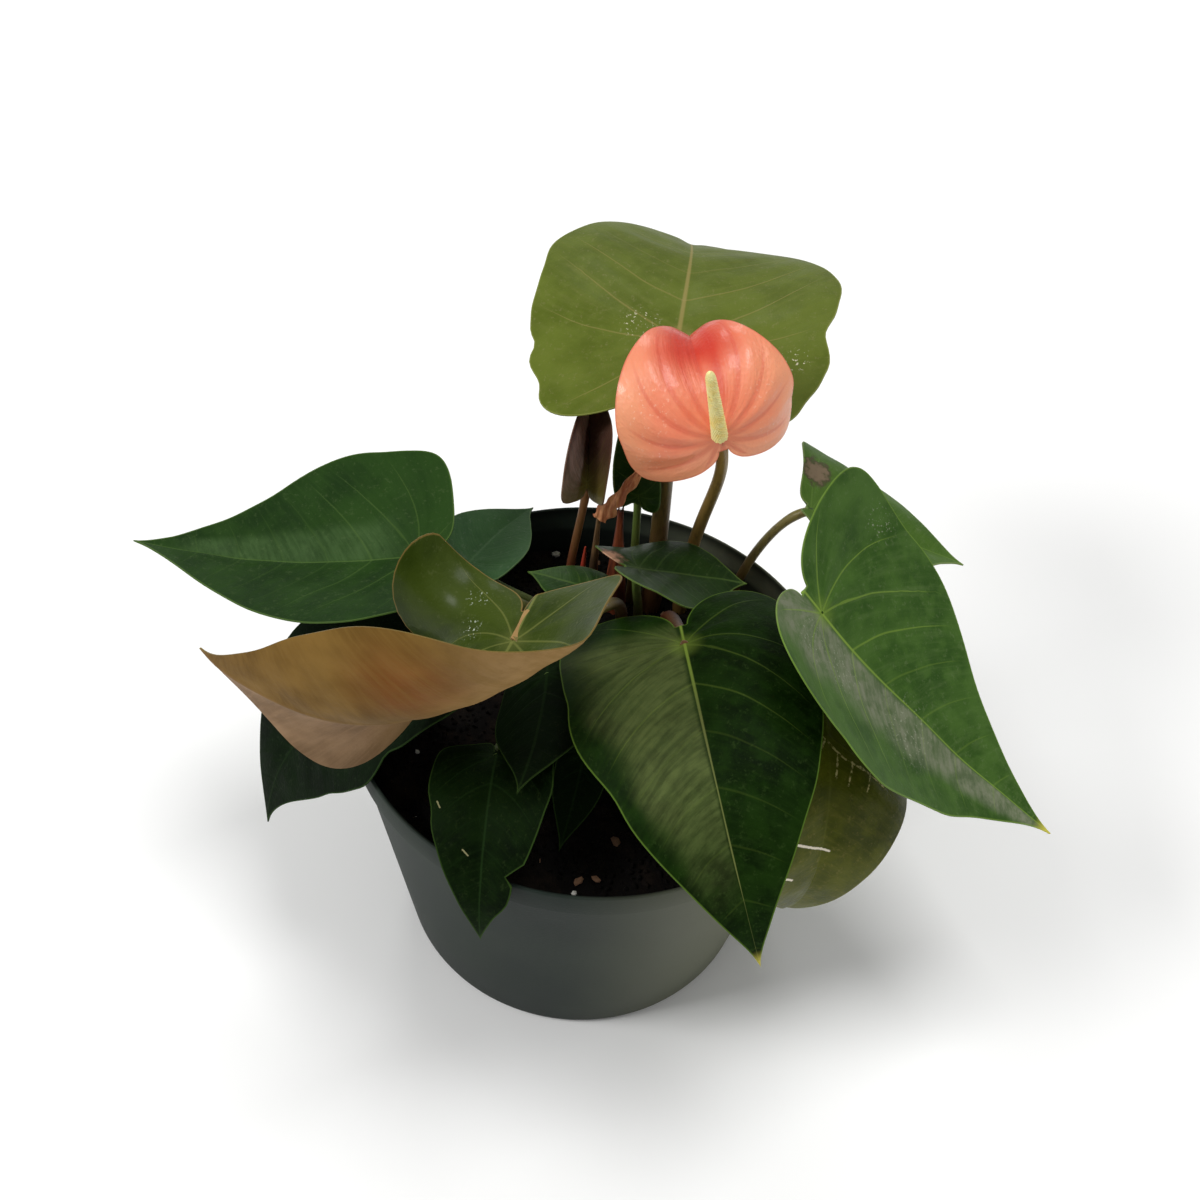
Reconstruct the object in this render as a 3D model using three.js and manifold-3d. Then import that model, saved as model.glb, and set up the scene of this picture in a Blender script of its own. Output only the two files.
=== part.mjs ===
// Flamingo flower (Anthurium andraeanum hybrid) in a plain 6 inch grower's pot.
// Units are millimetres, +Z is up, and the pot stands on z = 0 with its axis on Z.
// The plant is looked at from -Y. Angles are in degrees.
import * as THREE from 'three';
import Module from 'manifold-3d';

const manifold = await Module();
manifold.setup();

// Pot: a standard 6 inch azalea pot, moulded in thin plastic.
const RIM_RADIUS = 76;
const POT_HEIGHT = 108;
const BASE_RADIUS = 57.5;
const WALL = 1.6;
const FLOOR_THICKNESS = 2;
const RIM_BAND_HEIGHT = 9;
const RIM_STEP = 1.6;
const RIM_LIP = 1.2;
const DRAIN_COUNT = 6;
const DRAIN_RADIUS = 5;
const DRAIN_CIRCLE = 42;
const POT_SEGMENTS = 60;

// Soil: fills the pot to a little below the rim.
const SOIL_TOP = 94;
const SOIL_BUMP = 1.3;
const SOIL_SLUMP = 1.5;
const SOIL_SEGMENTS = 36;
const ROOT_DEPTH = 9;
const CLEARANCE = 0.3;
const SLIVER = 0.03;

// Leaves and stems.
const BLADE_THICKNESS = 0.8;
const SPATHE_THICKNESS = 1.0;
const STEM_SIDES = 7;
const STEM_STEPS = 9;
const BIG_GRID = { tip: 6, shoulder: 5, lobe: 5, rows: 4 };
const SMALL_GRID = { tip: 4, shoulder: 4, lobe: 3, rows: 3 };
const FRAME_STEPS = 20;
const LOBE_STEPS = 5;
const LOBE_REACH = 0.45;

const radians = THREE.MathUtils.degToRad;

const finish = {
  pot: { color: 0x3f4443, roughness: 0.7, metalness: 0 },
  soil: { color: 0x17120e, roughness: 1, metalness: 0 },
  leaf: { color: 0x1f4a22, roughness: 0.4, metalness: 0 },
  olive: { color: 0x5f6f34, roughness: 0.45, metalness: 0 },
  copper: { color: 0x8a6238, roughness: 0.45, metalness: 0 },
  maroon: { color: 0x2e1a18, roughness: 0.4, metalness: 0 },
  stem: { color: 0x5a4a2a, roughness: 0.5, metalness: 0 },
  greenStem: { color: 0x4a5a2c, roughness: 0.5, metalness: 0 },
  redStem: { color: 0x5c2a1c, roughness: 0.5, metalness: 0 },
  sheath: { color: 0x6a3420, roughness: 0.7, metalness: 0 },
  bract: { color: 0xb07a4c, roughness: 0.85, metalness: 0 },
  spathe: { color: 0xea8064, roughness: 0.3, metalness: 0 },
  spadix: { color: 0xe8d58c, roughness: 0.6, metalness: 0 },
};

// Each leaf: `junction` is where the stem meets the blade. `heading`, `rise` and
// `roll` turn the blade there, `droop`, `swing` and `twist` bend its midrib along
// its length. `fold` raises each half from the midrib, at the base and at the tip,
// and `cup` curls it across. `shape` gives the widest place, the reach of the lobes
// behind the junction and half the spread of the lobes, as parts of the size.
// `lobes` gives one half a reach and spread of its own, and `lobeDroop` and `lobeCup`
// curl the lobes further. `bumps` are explained at the outline.
// A stem rises from its `foot`, then bends over to the junction from below.
const leaves = [
  {
    name: 'leaf_far_left', finish: 'leaf', grid: BIG_GRID, length: 88, width: 79,
    junction: [-58, 23, 134], heading: 188, rise: -11, roll: 6,
    droop: -17, swing: -13, twist: -3,
    fold: { left: [23, 13], right: [18, 12] }, cup: { left: -6, right: 1 },
    shape: [0.14, 0.15, 0.27], lobeDroop: -10,
    bumps: { right: [[0.62, -3.5, 0.2]] },
    stem: { foot: [-13, 28], lift: 14, bend: [-46, 27, 120], radius: 1.7, finish: 'greenStem' },
  },
  {
    name: 'leaf_behind_left', finish: 'leaf', grid: SMALL_GRID, length: 34, width: 32,
    junction: [-43, 40, 115], heading: 62, rise: 3, roll: -6,
    droop: 16, swing: -4, twist: 0,
    fold: { left: [18, 15], right: [18, 15] }, cup: { left: -8, right: -8 },
    shape: [0.15, 0.22, 0.25], lobeDroop: 0,
    stem: { foot: [-14, 35], lift: 8, bend: [-36, 35, 108], radius: 1.3, finish: 'greenStem' },
  },
  {
    name: 'leaf_copper', finish: 'copper', grid: BIG_GRID, length: 101, width: 92,
    junction: [-23, -37, 172], heading: 250, rise: -18, roll: -12,
    droop: -54, swing: -113, twist: 65,
    fold: { left: [34, 40], right: [-38, -15] }, cup: { left: 61, right: -51 },
    shape: [0.33, 0.27, 0.32], lobes: { left: [0.22, 0.24], right: [0.285, 0.33] },
    lobeDroop: 60, lobeCup: { left: -30, right: 155 },
    bumps: { left: [[-0.08, -9, 0.13]] },
    stem: { foot: [7, 26], lift: 42, bend: [2, -16, 158], radius: 1.8, finish: 'stem' },
  },
  {
    name: 'leaf_low_left', finish: 'leaf', grid: BIG_GRID, length: 78, width: 72,
    junction: [-55, -4, 117], heading: 199, rise: -9, roll: 3,
    droop: 69, swing: 22, twist: -10,
    fold: { left: [23, -8], right: [8, 3] }, cup: { left: -13, right: -10 },
    shape: [0.19, 0.23, 0.29], lobeDroop: 1,
    stem: { foot: [-13, 20], lift: 10, bend: [-40, 0, 109], radius: 1.6, finish: 'stem' },
  },
  {
    name: 'leaf_front', finish: 'leaf', grid: BIG_GRID, length: 104, width: 74,
    junction: [25, -14, 149], heading: -82, rise: 19, roll: 10,
    droop: 94, swing: 6, twist: 3,
    fold: { left: [12, 13], right: [-3, 22] }, cup: { left: -47, right: 0 },
    shape: [0.12, 0.27, 0.3], lobeDroop: 7,
    stem: { foot: [20, 30], lift: 26, bend: [24, 2, 136], radius: 1.9, finish: 'redStem' },
  },
  {
    name: 'leaf_right', finish: 'leaf', grid: BIG_GRID, length: 104, width: 89,
    junction: [63, -3, 156], heading: -15, rise: -47, roll: 2,
    droop: -21, swing: -4, twist: 5,
    fold: { left: [10, -3], right: [8, 2] }, cup: { left: 5, right: 27 },
    shape: [0.16, 0.23, 0.33], lobeDroop: -13,
    bumps: { left: [[0.6, -4, 0.2]], right: [[0.5, -2.5, 0.2]] },
    stem: { foot: [33, 41], lift: 8, bend: [58, 16, 124], radius: 1.9, finish: 'greenStem' },
  },
  {
    name: 'leaf_back_right', finish: 'leaf', grid: SMALL_GRID, length: 55, width: 64,
    junction: [63, 56, 137], heading: 2, rise: -19, roll: -14,
    droop: 1, swing: -5, twist: 4,
    fold: { left: [46, 13], right: [19, 11] }, cup: { left: -66, right: -12 },
    shape: [0.14, 0.09, 0.27], lobeDroop: -6,
    stem: { foot: [42, 49], lift: 14, bend: [52, 56, 134], radius: 1.5, finish: 'stem' },
  },
  {
    name: 'leaf_low_right', finish: 'olive', grid: BIG_GRID, length: 87, width: 79,
    junction: [67, -13, 131], heading: -79, rise: 6, roll: -9,
    droop: 127, swing: 2, twist: -1,
    fold: { left: [-24, 24], right: [18, 20] }, cup: { left: -46, right: -9 },
    shape: [0.12, 0.24, 0.25], lobeDroop: -3,
    stem: { foot: [29, 34], lift: 12, bend: [60, 4, 120], radius: 1.7, finish: 'stem' },
  },
  {
    name: 'leaf_top', finish: 'olive', grid: BIG_GRID, length: 106, width: 93,
    junction: [15, 70, 191], heading: 86, rise: 7, roll: 2,
    droop: 63, swing: 0, twist: 9,
    fold: { left: [0, 14], right: [6, 7] }, cup: { left: -24, right: 5 },
    shape: [0.23, 0.3, 0.29], lobeDroop: 0,
    stem: { foot: [16, 47], lift: 50, bend: [15, 57, 176], radius: 2.7, finish: 'stem' },
  },
  {
    name: 'leaf_maroon', finish: 'maroon', grid: SMALL_GRID, length: 31, width: 39,
    junction: [-8, 38, 158], heading: 95, rise: 52, roll: 0,
    droop: 29, swing: -4, twist: 5,
    fold: { left: [56, 64], right: [63, 54] }, cup: { left: 18, right: 27 },
    shape: [0.13, 0.15, 0.26], lobeDroop: 0,
    stem: { foot: [-12, 38], lift: 30, bend: [-8, 36, 146], radius: 1.3, finish: 'redStem' },
  },
  {
    name: 'leaf_behind_flower', finish: 'leaf', grid: SMALL_GRID, length: 34, width: 18,
    junction: [8, 48, 145], heading: 124, rise: 72, roll: -18,
    droop: 10, swing: 0, twist: 0,
    fold: { left: [25, 15], right: [48, 30] }, cup: { left: 5, right: 5 },
    shape: [0.14, 0.15, 0.22], lobes: { left: [0.05, 0.2] }, lobeDroop: 0,
    stem: { foot: [9, 48], lift: 26, bend: [8, 54, 139], radius: 1.3, finish: 'greenStem' },
  },
  {
    name: 'leaf_center', finish: 'leaf', grid: SMALL_GRID, length: 35, width: 44,
    junction: [10, 22, 139.5], heading: 8, rise: -12, roll: -15,
    droop: 0, swing: 0, twist: 22,
    fold: { left: [1, 14], right: [21, 8] }, cup: { left: -36, right: -7 },
    shape: [0.17, 0.31, 0.28], lobeDroop: -14,
    stem: { foot: [12, 35], lift: 16, bend: [9, 23, 129], radius: 1.4, finish: 'greenStem' },
  },
  {
    name: 'leaf_shaded', finish: 'leaf', grid: SMALL_GRID, length: 22, width: 20,
    junction: [-4, 23, 127], heading: 163, rise: -4, roll: 5,
    droop: 10, swing: -9, twist: 0,
    fold: { left: [11, 10], right: [4, 10] }, cup: { left: -16, right: -24 },
    shape: [0.15, 0.24, 0.25], lobeDroop: 0,
    stem: { foot: [-3, 28], lift: 10, bend: [-2, 25, 118], radius: 1.2, finish: 'greenStem' },
  },
  {
    name: 'leaf_hanging', finish: 'leaf', grid: SMALL_GRID, length: 46, width: 35,
    junction: [-14, -15, 130.5], heading: -88, rise: 3, roll: 23,
    droop: -9, swing: -12, twist: -2,
    fold: { left: [1, -6], right: [-10, 1] }, cup: { left: -22, right: -18 },
    shape: [0.17, 0.24, 0.25], lobes: { left: [0.14, 0.2] }, lobeDroop: 2,
    stem: { foot: [-6, 21], lift: 12, bend: [-12, -4, 122], radius: 1.3, finish: 'greenStem' },
  },
  {
    name: 'leaf_over_rim', finish: 'leaf', grid: SMALL_GRID, length: 62, width: 37,
    junction: [-26, -40.5, 123], heading: -93, rise: 10, roll: 8,
    droop: 104, swing: -9, twist: 0,
    fold: { left: [19, 16], right: [1, 13] }, cup: { left: -8, right: -12 },
    shape: [0.1, 0.08, 0.25], lobeDroop: 2,
    stem: { foot: [1, 17], lift: 6, bend: [-34, -31, 107], radius: 1.4, finish: 'greenStem' },
  },
  {
    name: 'leaf_sliver', finish: 'leaf', grid: SMALL_GRID, length: 30, width: 16,
    junction: [-1, -33, 118], heading: -98, rise: -36, roll: -9,
    droop: 14, swing: -4, twist: 0,
    fold: { left: [13, 15], right: [20, 13] }, cup: { left: -14, right: -8 },
    shape: [0.16, 0.2, 0.25], lobeDroop: 0,
    stem: { foot: [8, 18], lift: 8, bend: [2, -18, 112], radius: 1.1, finish: 'greenStem' },
  },
];

// Flower: the spathe is a blade too, and the spadix stands on its junction.
const spathe = {
  name: 'spathe', finish: 'spathe', grid: BIG_GRID, length: 49, width: 55,
  junction: [28, 20, 201], heading: 136, rise: 59, roll: -30,
  droop: 126, swing: -12, twist: 0,
  fold: { left: [6, 59], right: [5, 46] }, cup: { left: -43, right: -59 },
  shape: [0.13, 0.23, 0.33], lobeDroop: 9,
  stem: { foot: [25.5, 46], lift: 52, bend: [35, 28, 173], radius: 1.9, finish: 'stem' },
};

// Curve steps of a leaf: the blade's own directions at places along the midrib.
function turned(vector, axis, angle) {
  return vector.clone().applyAxisAngle(axis, angle);
}

function startFrame(leaf) {
  const heading = radians(leaf.heading);
  const rise = radians(leaf.rise);
  const along = new THREE.Vector3(
    Math.cos(heading) * Math.cos(rise),
    Math.sin(heading) * Math.cos(rise),
    Math.sin(rise),
  );
  const level = new THREE.Vector3(-Math.sin(heading), Math.cos(heading), 0);
  const roll = radians(leaf.roll);
  return {
    s: 0,
    point: new THREE.Vector3(...leaf.junction),
    along,
    side: turned(level, along, roll),
    up: turned(along.clone().cross(level), along, roll),
  };
}

function nextFrame(frame, step, droop, swing, twist) {
  let along = turned(frame.along, frame.side, droop);
  let up = turned(frame.up, frame.side, droop);
  along = turned(along, up, swing);
  let side = turned(frame.side, up, swing);
  side = turned(side, along, twist);
  up = turned(up, along, twist);
  const point = frame.point.clone().addScaledVector(along, step);
  return { s: frame.s + step, point, along, side, up };
}

function midrib(leaf) {
  const frames = [startFrame(leaf)];
  const step = leaf.length / FRAME_STEPS;
  for (let i = 0; i < FRAME_STEPS; i += 1) {
    frames.push(nextFrame(
      frames[i], step,
      radians(leaf.droop) / FRAME_STEPS,
      radians(leaf.swing) / FRAME_STEPS,
      radians(leaf.twist) / FRAME_STEPS,
    ));
  }
  const backStep = (LOBE_REACH * leaf.length) / LOBE_STEPS;
  for (let i = 0; i < LOBE_STEPS; i += 1) {
    frames.unshift(nextFrame(
      frames[0], -backStep, -radians(leaf.lobeDroop) / LOBE_STEPS, 0, 0,
    ));
  }
  return frames;
}

function frameAt(frames, s) {
  let i = 1;
  while (i < frames.length - 1 && frames[i].s < s) i += 1;
  const a = frames[i - 1];
  const b = frames[i];
  const t = (s - a.s) / (b.s - a.s);
  return {
    point: a.point.clone().lerp(b.point, t),
    side: a.side.clone().lerp(b.side, t).normalize(),
    up: a.up.clone().lerp(b.up, t).normalize(),
  };
}

// A place on the blade, `s` along the midrib and `y` to the left (+) or right (-).
function onBlade(leaf, frames, s, y) {
  const frame = frameAt(frames, s);
  const place = Math.max(-0.3, Math.min(1, s / leaf.length));
  const half = y >= 0 ? 'left' : 'right';
  const [base, tip] = leaf.fold[half];
  const fold = radians(base + (tip - base) * place);
  const inLobe = Math.max(0, Math.min(1, -s / (leaf.shape[1] * leaf.length)));
  const lobeCup = leaf.lobeCup ? leaf.lobeCup[half] : 0;
  const bend = radians(leaf.cup[half] + inLobe * lobeCup + 1e-3) / (leaf.width / 2);
  const reach = Math.abs(y);
  const out = (Math.sin(fold + bend * reach) - Math.sin(fold)) / bend;
  const lift = (Math.cos(fold) - Math.cos(fold + bend * reach)) / bend;
  return frame.point
    .addScaledVector(frame.side, Math.sign(y) * out)
    .addScaledVector(frame.up, lift);
}

// Half of the flat heart outline, from the tip round the lobe to the notch.
function heartOutline(leaf, [back, lobe]) {
  const { length: L, width: W, grid } = leaf;
  const [widest, reach] = leaf.shape;
  const h = W / 2;
  const v = (x, y) => new THREE.Vector2(x, y);
  const notch = v(-0.4 * reach * L, 0.025 * W);
  const end = v(-back * L, lobe * W);
  const wide = v(widest * L, h);
  const curves = [
    [grid.tip, v(L, 0), v(0.78 * L, 0.1 * h), v((widest + 0.36) * L, 1.06 * h), wide],
    [grid.shoulder, wide, v((widest - 0.17) * L, 0.97 * h), v(end.x, end.y + 0.24 * W), end],
    [grid.lobe, end, v(end.x, end.y - 0.14 * W), v(notch.x - 0.09 * L, notch.y + 0.015 * W), notch],
  ];
  const outline = [];
  for (const [count, ...points] of curves) {
    outline.push(...new THREE.CubicBezierCurve(...points).getPoints(count).slice(0, -1));
  }
  outline.push(notch);
  return outline;
}

// One half's own outline. Each bump moves the margin out by its size, in mm, around
// its place along the blade.
function halfOutline(leaf, half) {
  const outline = heartOutline(leaf, leaf.lobes?.[half] ?? leaf.shape.slice(1));
  const bumps = leaf.bumps?.[half] ?? [];
  for (const point of outline) {
    for (const [at, size, spread] of bumps) {
      const near = Math.exp(-(((point.x / leaf.length - at) / spread) ** 2));
      point.y += size * near * Math.min(1, point.y / 5);
    }
  }
  return outline;
}

// The blade's grid: each column runs from the midrib out to the margin. Both halves
// start their columns from the same places on the midrib.
function bladeColumns(leaf, sign) {
  const outline = halfOutline(leaf, sign > 0 ? 'left' : 'right');
  const roots = heartOutline(leaf, leaf.shape.slice(1))
    .map((edge) => Math.max(0, edge.x - 0.5 * edge.y));
  roots[roots.length - 1] = outline.at(-1).x;
  const frames = midrib(leaf);
  return outline.map((edge, i) => {
    const column = [frameAt(frames, roots[i]).point];
    for (let r = 1; r <= leaf.grid.rows; r += 1) {
      const t = r / leaf.grid.rows;
      column.push(onBlade(leaf, frames, roots[i] + (edge.x - roots[i]) * t, sign * edge.y * t));
    }
    return column;
  });
}

// Welds equal points, so that the blade's two halves share the midrib.
class Surface {
  constructor() {
    this.points = [];
    this.faces = [];
    this.index = new Map();
  }

  vertex(point) {
    const key = point.toArray().map((value) => Math.round(value * 500)).join();
    if (!this.index.has(key)) {
      this.index.set(key, this.points.length);
      this.points.push(point);
    }
    return this.index.get(key);
  }

  face(a, b, c) {
    if (a !== b && b !== c && c !== a) this.faces.push([a, b, c]);
  }

  quad(a, b, c, d) {
    this.face(a, b, c);
    this.face(a, c, d);
  }
}

function bladeSurface(leaf) {
  const surface = new Surface();
  for (const sign of [1, -1]) {
    const columns = bladeColumns(leaf, sign)
      .map((column) => column.map((point) => surface.vertex(point)));
    for (let i = 1; i < columns.length; i += 1) {
      for (let r = 1; r < columns[i].length; r += 1) {
        const corners = [columns[i - 1][r - 1], columns[i - 1][r], columns[i][r], columns[i][r - 1]];
        if (sign < 0) corners.reverse();
        surface.quad(...corners);
      }
    }
  }
  return surface;
}

function faceNormal(points, [a, b, c]) {
  const edge = points[b].clone().sub(points[a]);
  return edge.cross(points[c].clone().sub(points[a]));
}

// Gives the surface a thickness: both faces are split into triangles alike.
function thicken(surface, thickness) {
  const { points, faces } = surface;
  const normals = points.map(() => new THREE.Vector3());
  const flats = faces.map((face) => faceNormal(points, face));
  faces.forEach((face, i) => face.forEach((corner) => normals[corner].add(flats[i])));
  normals.forEach((normal) => normal.normalize());
  const stretch = points.map(() => 1);
  faces.forEach((face, i) => {
    const flat = flats[i].clone().normalize();
    face.forEach((corner) => {
      stretch[corner] = Math.max(stretch[corner], 1 / Math.max(0.6, flat.dot(normals[corner])));
    });
  });
  const shifted = (side) => points.map((point, i) => (
    point.clone().addScaledVector(normals[i], side * stretch[i] * thickness / 2)
  ));
  const solid = [...shifted(1), ...shifted(-1)];
  const lower = points.length;
  const triangles = [];
  const open = new Map();
  for (const [a, b, c] of faces) {
    triangles.push([a, b, c], [a + lower, c + lower, b + lower]);
    for (const [from, to] of [[a, b], [b, c], [c, a]]) {
      if (!open.delete(`${to},${from}`)) open.set(`${from},${to}`, [from, to]);
    }
  }
  for (const [from, to] of open.values()) {
    triangles.push([from, from + lower, to + lower], [from, to + lower, to]);
  }
  return toGeometry(solid, triangles);
}

function toGeometry(points, triangles) {
  const geometry = new THREE.BufferGeometry();
  const flat = points.flatMap((point) => point.toArray());
  geometry.setAttribute('position', new THREE.Float32BufferAttribute(flat, 3));
  geometry.setIndex(triangles.flat());
  return geometry;
}

// A closed round tube along a curve, its radius given by a function of 0..1.
function tube(curve, radiusAt, sides, steps) {
  const frames = curve.computeFrenetFrames(steps, false);
  const points = [];
  const triangles = [];
  for (let i = 0; i <= steps; i += 1) {
    const center = curve.getPointAt(i / steps);
    for (let k = 0; k < sides; k += 1) {
      const turn = (2 * Math.PI * k) / sides;
      points.push(center.clone()
        .addScaledVector(frames.normals[i], Math.cos(turn) * radiusAt(i / steps))
        .addScaledVector(frames.binormals[i], Math.sin(turn) * radiusAt(i / steps)));
    }
  }
  for (let i = 0; i < steps; i += 1) {
    for (let k = 0; k < sides; k += 1) {
      const next = (k + 1) % sides;
      const [a, b] = [i * sides + k, i * sides + next];
      triangles.push([a, b, b + sides], [a, b + sides, a + sides]);
    }
  }
  const start = points.push(curve.getPointAt(0)) - 1;
  const end = points.push(curve.getPointAt(1)) - 1;
  for (let k = 0; k < sides; k += 1) {
    const next = (k + 1) % sides;
    triangles.push([start, next, k], [end, steps * sides + k, steps * sides + next]);
  }
  return toGeometry(points, triangles);
}

// Solids that are joined or cut. Faces thinner than a sliver are merged after a cut.
function toSolid(geometry) {
  const mesh = new manifold.Mesh({
    numProp: 3,
    vertProperties: Float32Array.from(geometry.attributes.position.array),
    triVerts: Uint32Array.from(geometry.index.array),
  });
  mesh.merge();
  return new manifold.Manifold(mesh);
}

function fromSolid(solid) {
  const mesh = solid.simplify(SLIVER).getMesh();
  const geometry = new THREE.BufferGeometry();
  geometry.setAttribute('position', new THREE.Float32BufferAttribute(mesh.vertProperties, 3));
  geometry.setIndex([...mesh.triVerts]);
  return geometry;
}

function largest(solid) {
  return solid.decompose().sort((a, b) => b.volume() - a.volume())[0];
}

// The stem's course: straight up out of the soil, then over to the blade from below.
function stemCurve(leaf, extra = 0) {
  const { foot, lift, bend } = leaf.stem;
  const root = new THREE.Vector3(foot[0], foot[1], SOIL_TOP - ROOT_DEPTH - extra);
  const collar = new THREE.Vector3(foot[0], foot[1], SOIL_TOP + 2);
  const rise = new THREE.Vector3(foot[0], foot[1], SOIL_TOP + 2 + lift);
  const { point, up } = startFrame(leaf);
  const seat = point.addScaledVector(up, -SPATHE_THICKNESS / 2 - CLEARANCE);
  const path = new THREE.CurvePath();
  path.add(new THREE.LineCurve3(root, collar));
  path.add(new THREE.CubicBezierCurve3(
    collar, rise, new THREE.Vector3(...bend), seat,
  ));
  return path;
}

function stemPath(leaf, extra) {
  const spaced = stemCurve(leaf, extra).getSpacedPoints(24);
  return new THREE.CatmullRomCurve3(spaced);
}

function stemTube(leaf, extra = 0) {
  const { radius } = leaf.stem;
  const taper = (t) => radius * (1.15 - 0.25 * t) + extra;
  return tube(stemPath(leaf, extra), taper, STEM_SIDES, STEM_STEPS);
}

function stemSolid(leaf, thickness) {
  const seat = toSolid(thicken(bladeSurface(leaf), thickness + 3 * CLEARANCE));
  return fromSolid(largest(toSolid(stemTube(leaf)).subtract(seat)));
}

// Pot: a turned wall with a thicker band at the rim and drain holes in its floor.
function potRadius(z) {
  const slope = (RIM_RADIUS - RIM_STEP - BASE_RADIUS) / (POT_HEIGHT - RIM_BAND_HEIGHT);
  return BASE_RADIUS + slope * z;
}

function potSolid() {
  const band = POT_HEIGHT - RIM_BAND_HEIGHT;
  const profile = [
    [0, 0],
    [BASE_RADIUS - 2, 0],
    [potRadius(1.5), 1.5],
    [potRadius(band), band],
    [RIM_RADIUS, band + 0.6],
    [RIM_RADIUS, POT_HEIGHT - 0.4],
    [RIM_RADIUS - 0.4, POT_HEIGHT],
    [RIM_RADIUS - RIM_LIP, POT_HEIGHT],
    [RIM_RADIUS - RIM_LIP - 0.2, band + 2],
    [potRadius(band - 1) - WALL, band - 1],
    [potRadius(FLOOR_THICKNESS) - WALL, FLOOR_THICKNESS],
    [0, FLOOR_THICKNESS],
  ];
  const outline = new manifold.CrossSection([profile]);
  const wall = manifold.Manifold.revolve(outline, POT_SEGMENTS);
  const holes = [];
  for (let i = 0; i < DRAIN_COUNT; i += 1) {
    const turn = (2 * Math.PI * (i + 0.5)) / DRAIN_COUNT;
    holes.push(manifold.Manifold.cylinder(10, DRAIN_RADIUS, DRAIN_RADIUS, 12, true)
      .translate([DRAIN_CIRCLE * Math.cos(turn), DRAIN_CIRCLE * Math.sin(turn), 0]));
  }
  return fromSolid(wall.subtract(manifold.Manifold.union(holes)));
}

// Soil: its side follows the pot's inner wall, its top is uneven.
function soilHeight(x, y) {
  const broad = Math.sin(0.21 * x + 1.1) * Math.cos(0.17 * y - 0.4);
  const fine = 0.5 * Math.sin(0.39 * x - 0.31 * y);
  return SOIL_TOP + SOIL_BUMP * (broad + fine);
}

function soilSolid(stems) {
  const inside = (z) => potRadius(z) - WALL - 2 * CLEARANCE;
  const floor = FLOOR_THICKNESS + CLEARANCE;
  const edge = inside(SOIL_TOP - 4);
  const points = [new THREE.Vector3(0, 0, soilHeight(0, 0))];
  const addRing = (radius, heightAt) => {
    for (let k = 0; k < SOIL_SEGMENTS; k += 1) {
      const turn = (2 * Math.PI * k) / SOIL_SEGMENTS;
      const x = radius * Math.cos(turn);
      const y = radius * Math.sin(turn);
      points.push(new THREE.Vector3(x, y, heightAt(x, y)));
    }
  };
  for (const part of [0.22, 0.45, 0.68, 0.88]) {
    addRing(part * edge, soilHeight);
  }
  addRing(edge, (x, y) => soilHeight(x, y) - SOIL_SLUMP);
  addRing(inside(floor), () => floor);
  const bottom = points.push(new THREE.Vector3(0, 0, floor)) - 1;
  const triangles = [];
  for (let k = 0; k < SOIL_SEGMENTS; k += 1) {
    const next = (k + 1) % SOIL_SEGMENTS;
    triangles.push([0, 1 + k, 1 + next]);
    for (let inner = 1; inner + SOIL_SEGMENTS < bottom; inner += SOIL_SEGMENTS) {
      const outer = inner + SOIL_SEGMENTS;
      triangles.push([inner + k, outer + k, outer + next], [inner + k, outer + next, inner + next]);
    }
    triangles.push([bottom, bottom - SOIL_SEGMENTS + next, bottom - SOIL_SEGMENTS + k]);
  }
  const solid = toSolid(toGeometry(points, triangles));
  return fromSolid(largest(solid.subtract(manifold.Manifold.union(stems))));
}

// Spadix: a tapering spike with rows of small florets raised on it.
const SPADIX = { length: 28.8, base: 2.5, tip: 1.4, sides: 16, steps: 22, floret: 0.16 };

function spadixCurve() {
  const frame = startFrame(spathe);
  const root = frame.point.clone().addScaledVector(frame.up, SPATHE_THICKNESS / 2 + CLEARANCE + 0.1);
  const lean = new THREE.Vector3(-0.2, -0.17, 1).normalize();
  const tip = root.clone().addScaledVector(lean, SPADIX.length);
  const middle = root.clone().lerp(tip, 0.5).addScaledVector(frame.up, 1);
  return new THREE.QuadraticBezierCurve3(root, middle, tip);
}

function spadixSolid() {
  const { base, tip, sides, steps, floret } = SPADIX;
  const radiusAt = (t) => (
    (base + (tip - base) * t) * Math.sqrt(Math.max(0.04, 1 - Math.max(0, (t - 0.9) / 0.1) ** 2))
  );
  const geometry = tube(spadixCurve(), radiusAt, sides, steps);
  const position = geometry.attributes.position;
  const center = new THREE.Vector3();
  for (let i = 1; i < steps; i += 1) {
    center.copy(spadixCurve().getPointAt(i / steps));
    for (let k = 0; k < sides; k += 1) {
      const raised = (i + k) % 2 === 0 ? floret : -floret;
      const point = new THREE.Vector3().fromBufferAttribute(position, i * sides + k);
      const out = point.clone().sub(center).normalize();
      point.addScaledVector(out, raised);
      position.setXYZ(i * sides + k, point.x, point.y, point.z);
    }
  }
  const seat = toSolid(thicken(bladeSurface(spathe), SPATHE_THICKNESS + 2 * CLEARANCE));
  return fromSolid(largest(toSolid(geometry).subtract(seat)));
}

// Sheaths and the red shoot stand in the soil beside the stems.
const sheaths = [
  { name: 'sheath_tall', finish: 'sheath', foot: [4, 43.5], top: [3, 43, 143], radius: 3.4 },
  { name: 'sheath_thin', finish: 'stem', foot: [-4, 43], top: [-3.5, 44, 149], radius: 1.3 },
  { name: 'shoot_red', finish: 'redStem', foot: [-7.5, 44], top: [-7, 43, 124], radius: 1.4 },
];

function sheathCurve(sheath, extra = 0) {
  const { foot, top } = sheath;
  const root = new THREE.Vector3(foot[0], foot[1], SOIL_TOP - ROOT_DEPTH - extra);
  const collar = new THREE.Vector3(foot[0], foot[1], SOIL_TOP + 4);
  return new THREE.QuadraticBezierCurve3(root, collar, new THREE.Vector3(...top));
}

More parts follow.
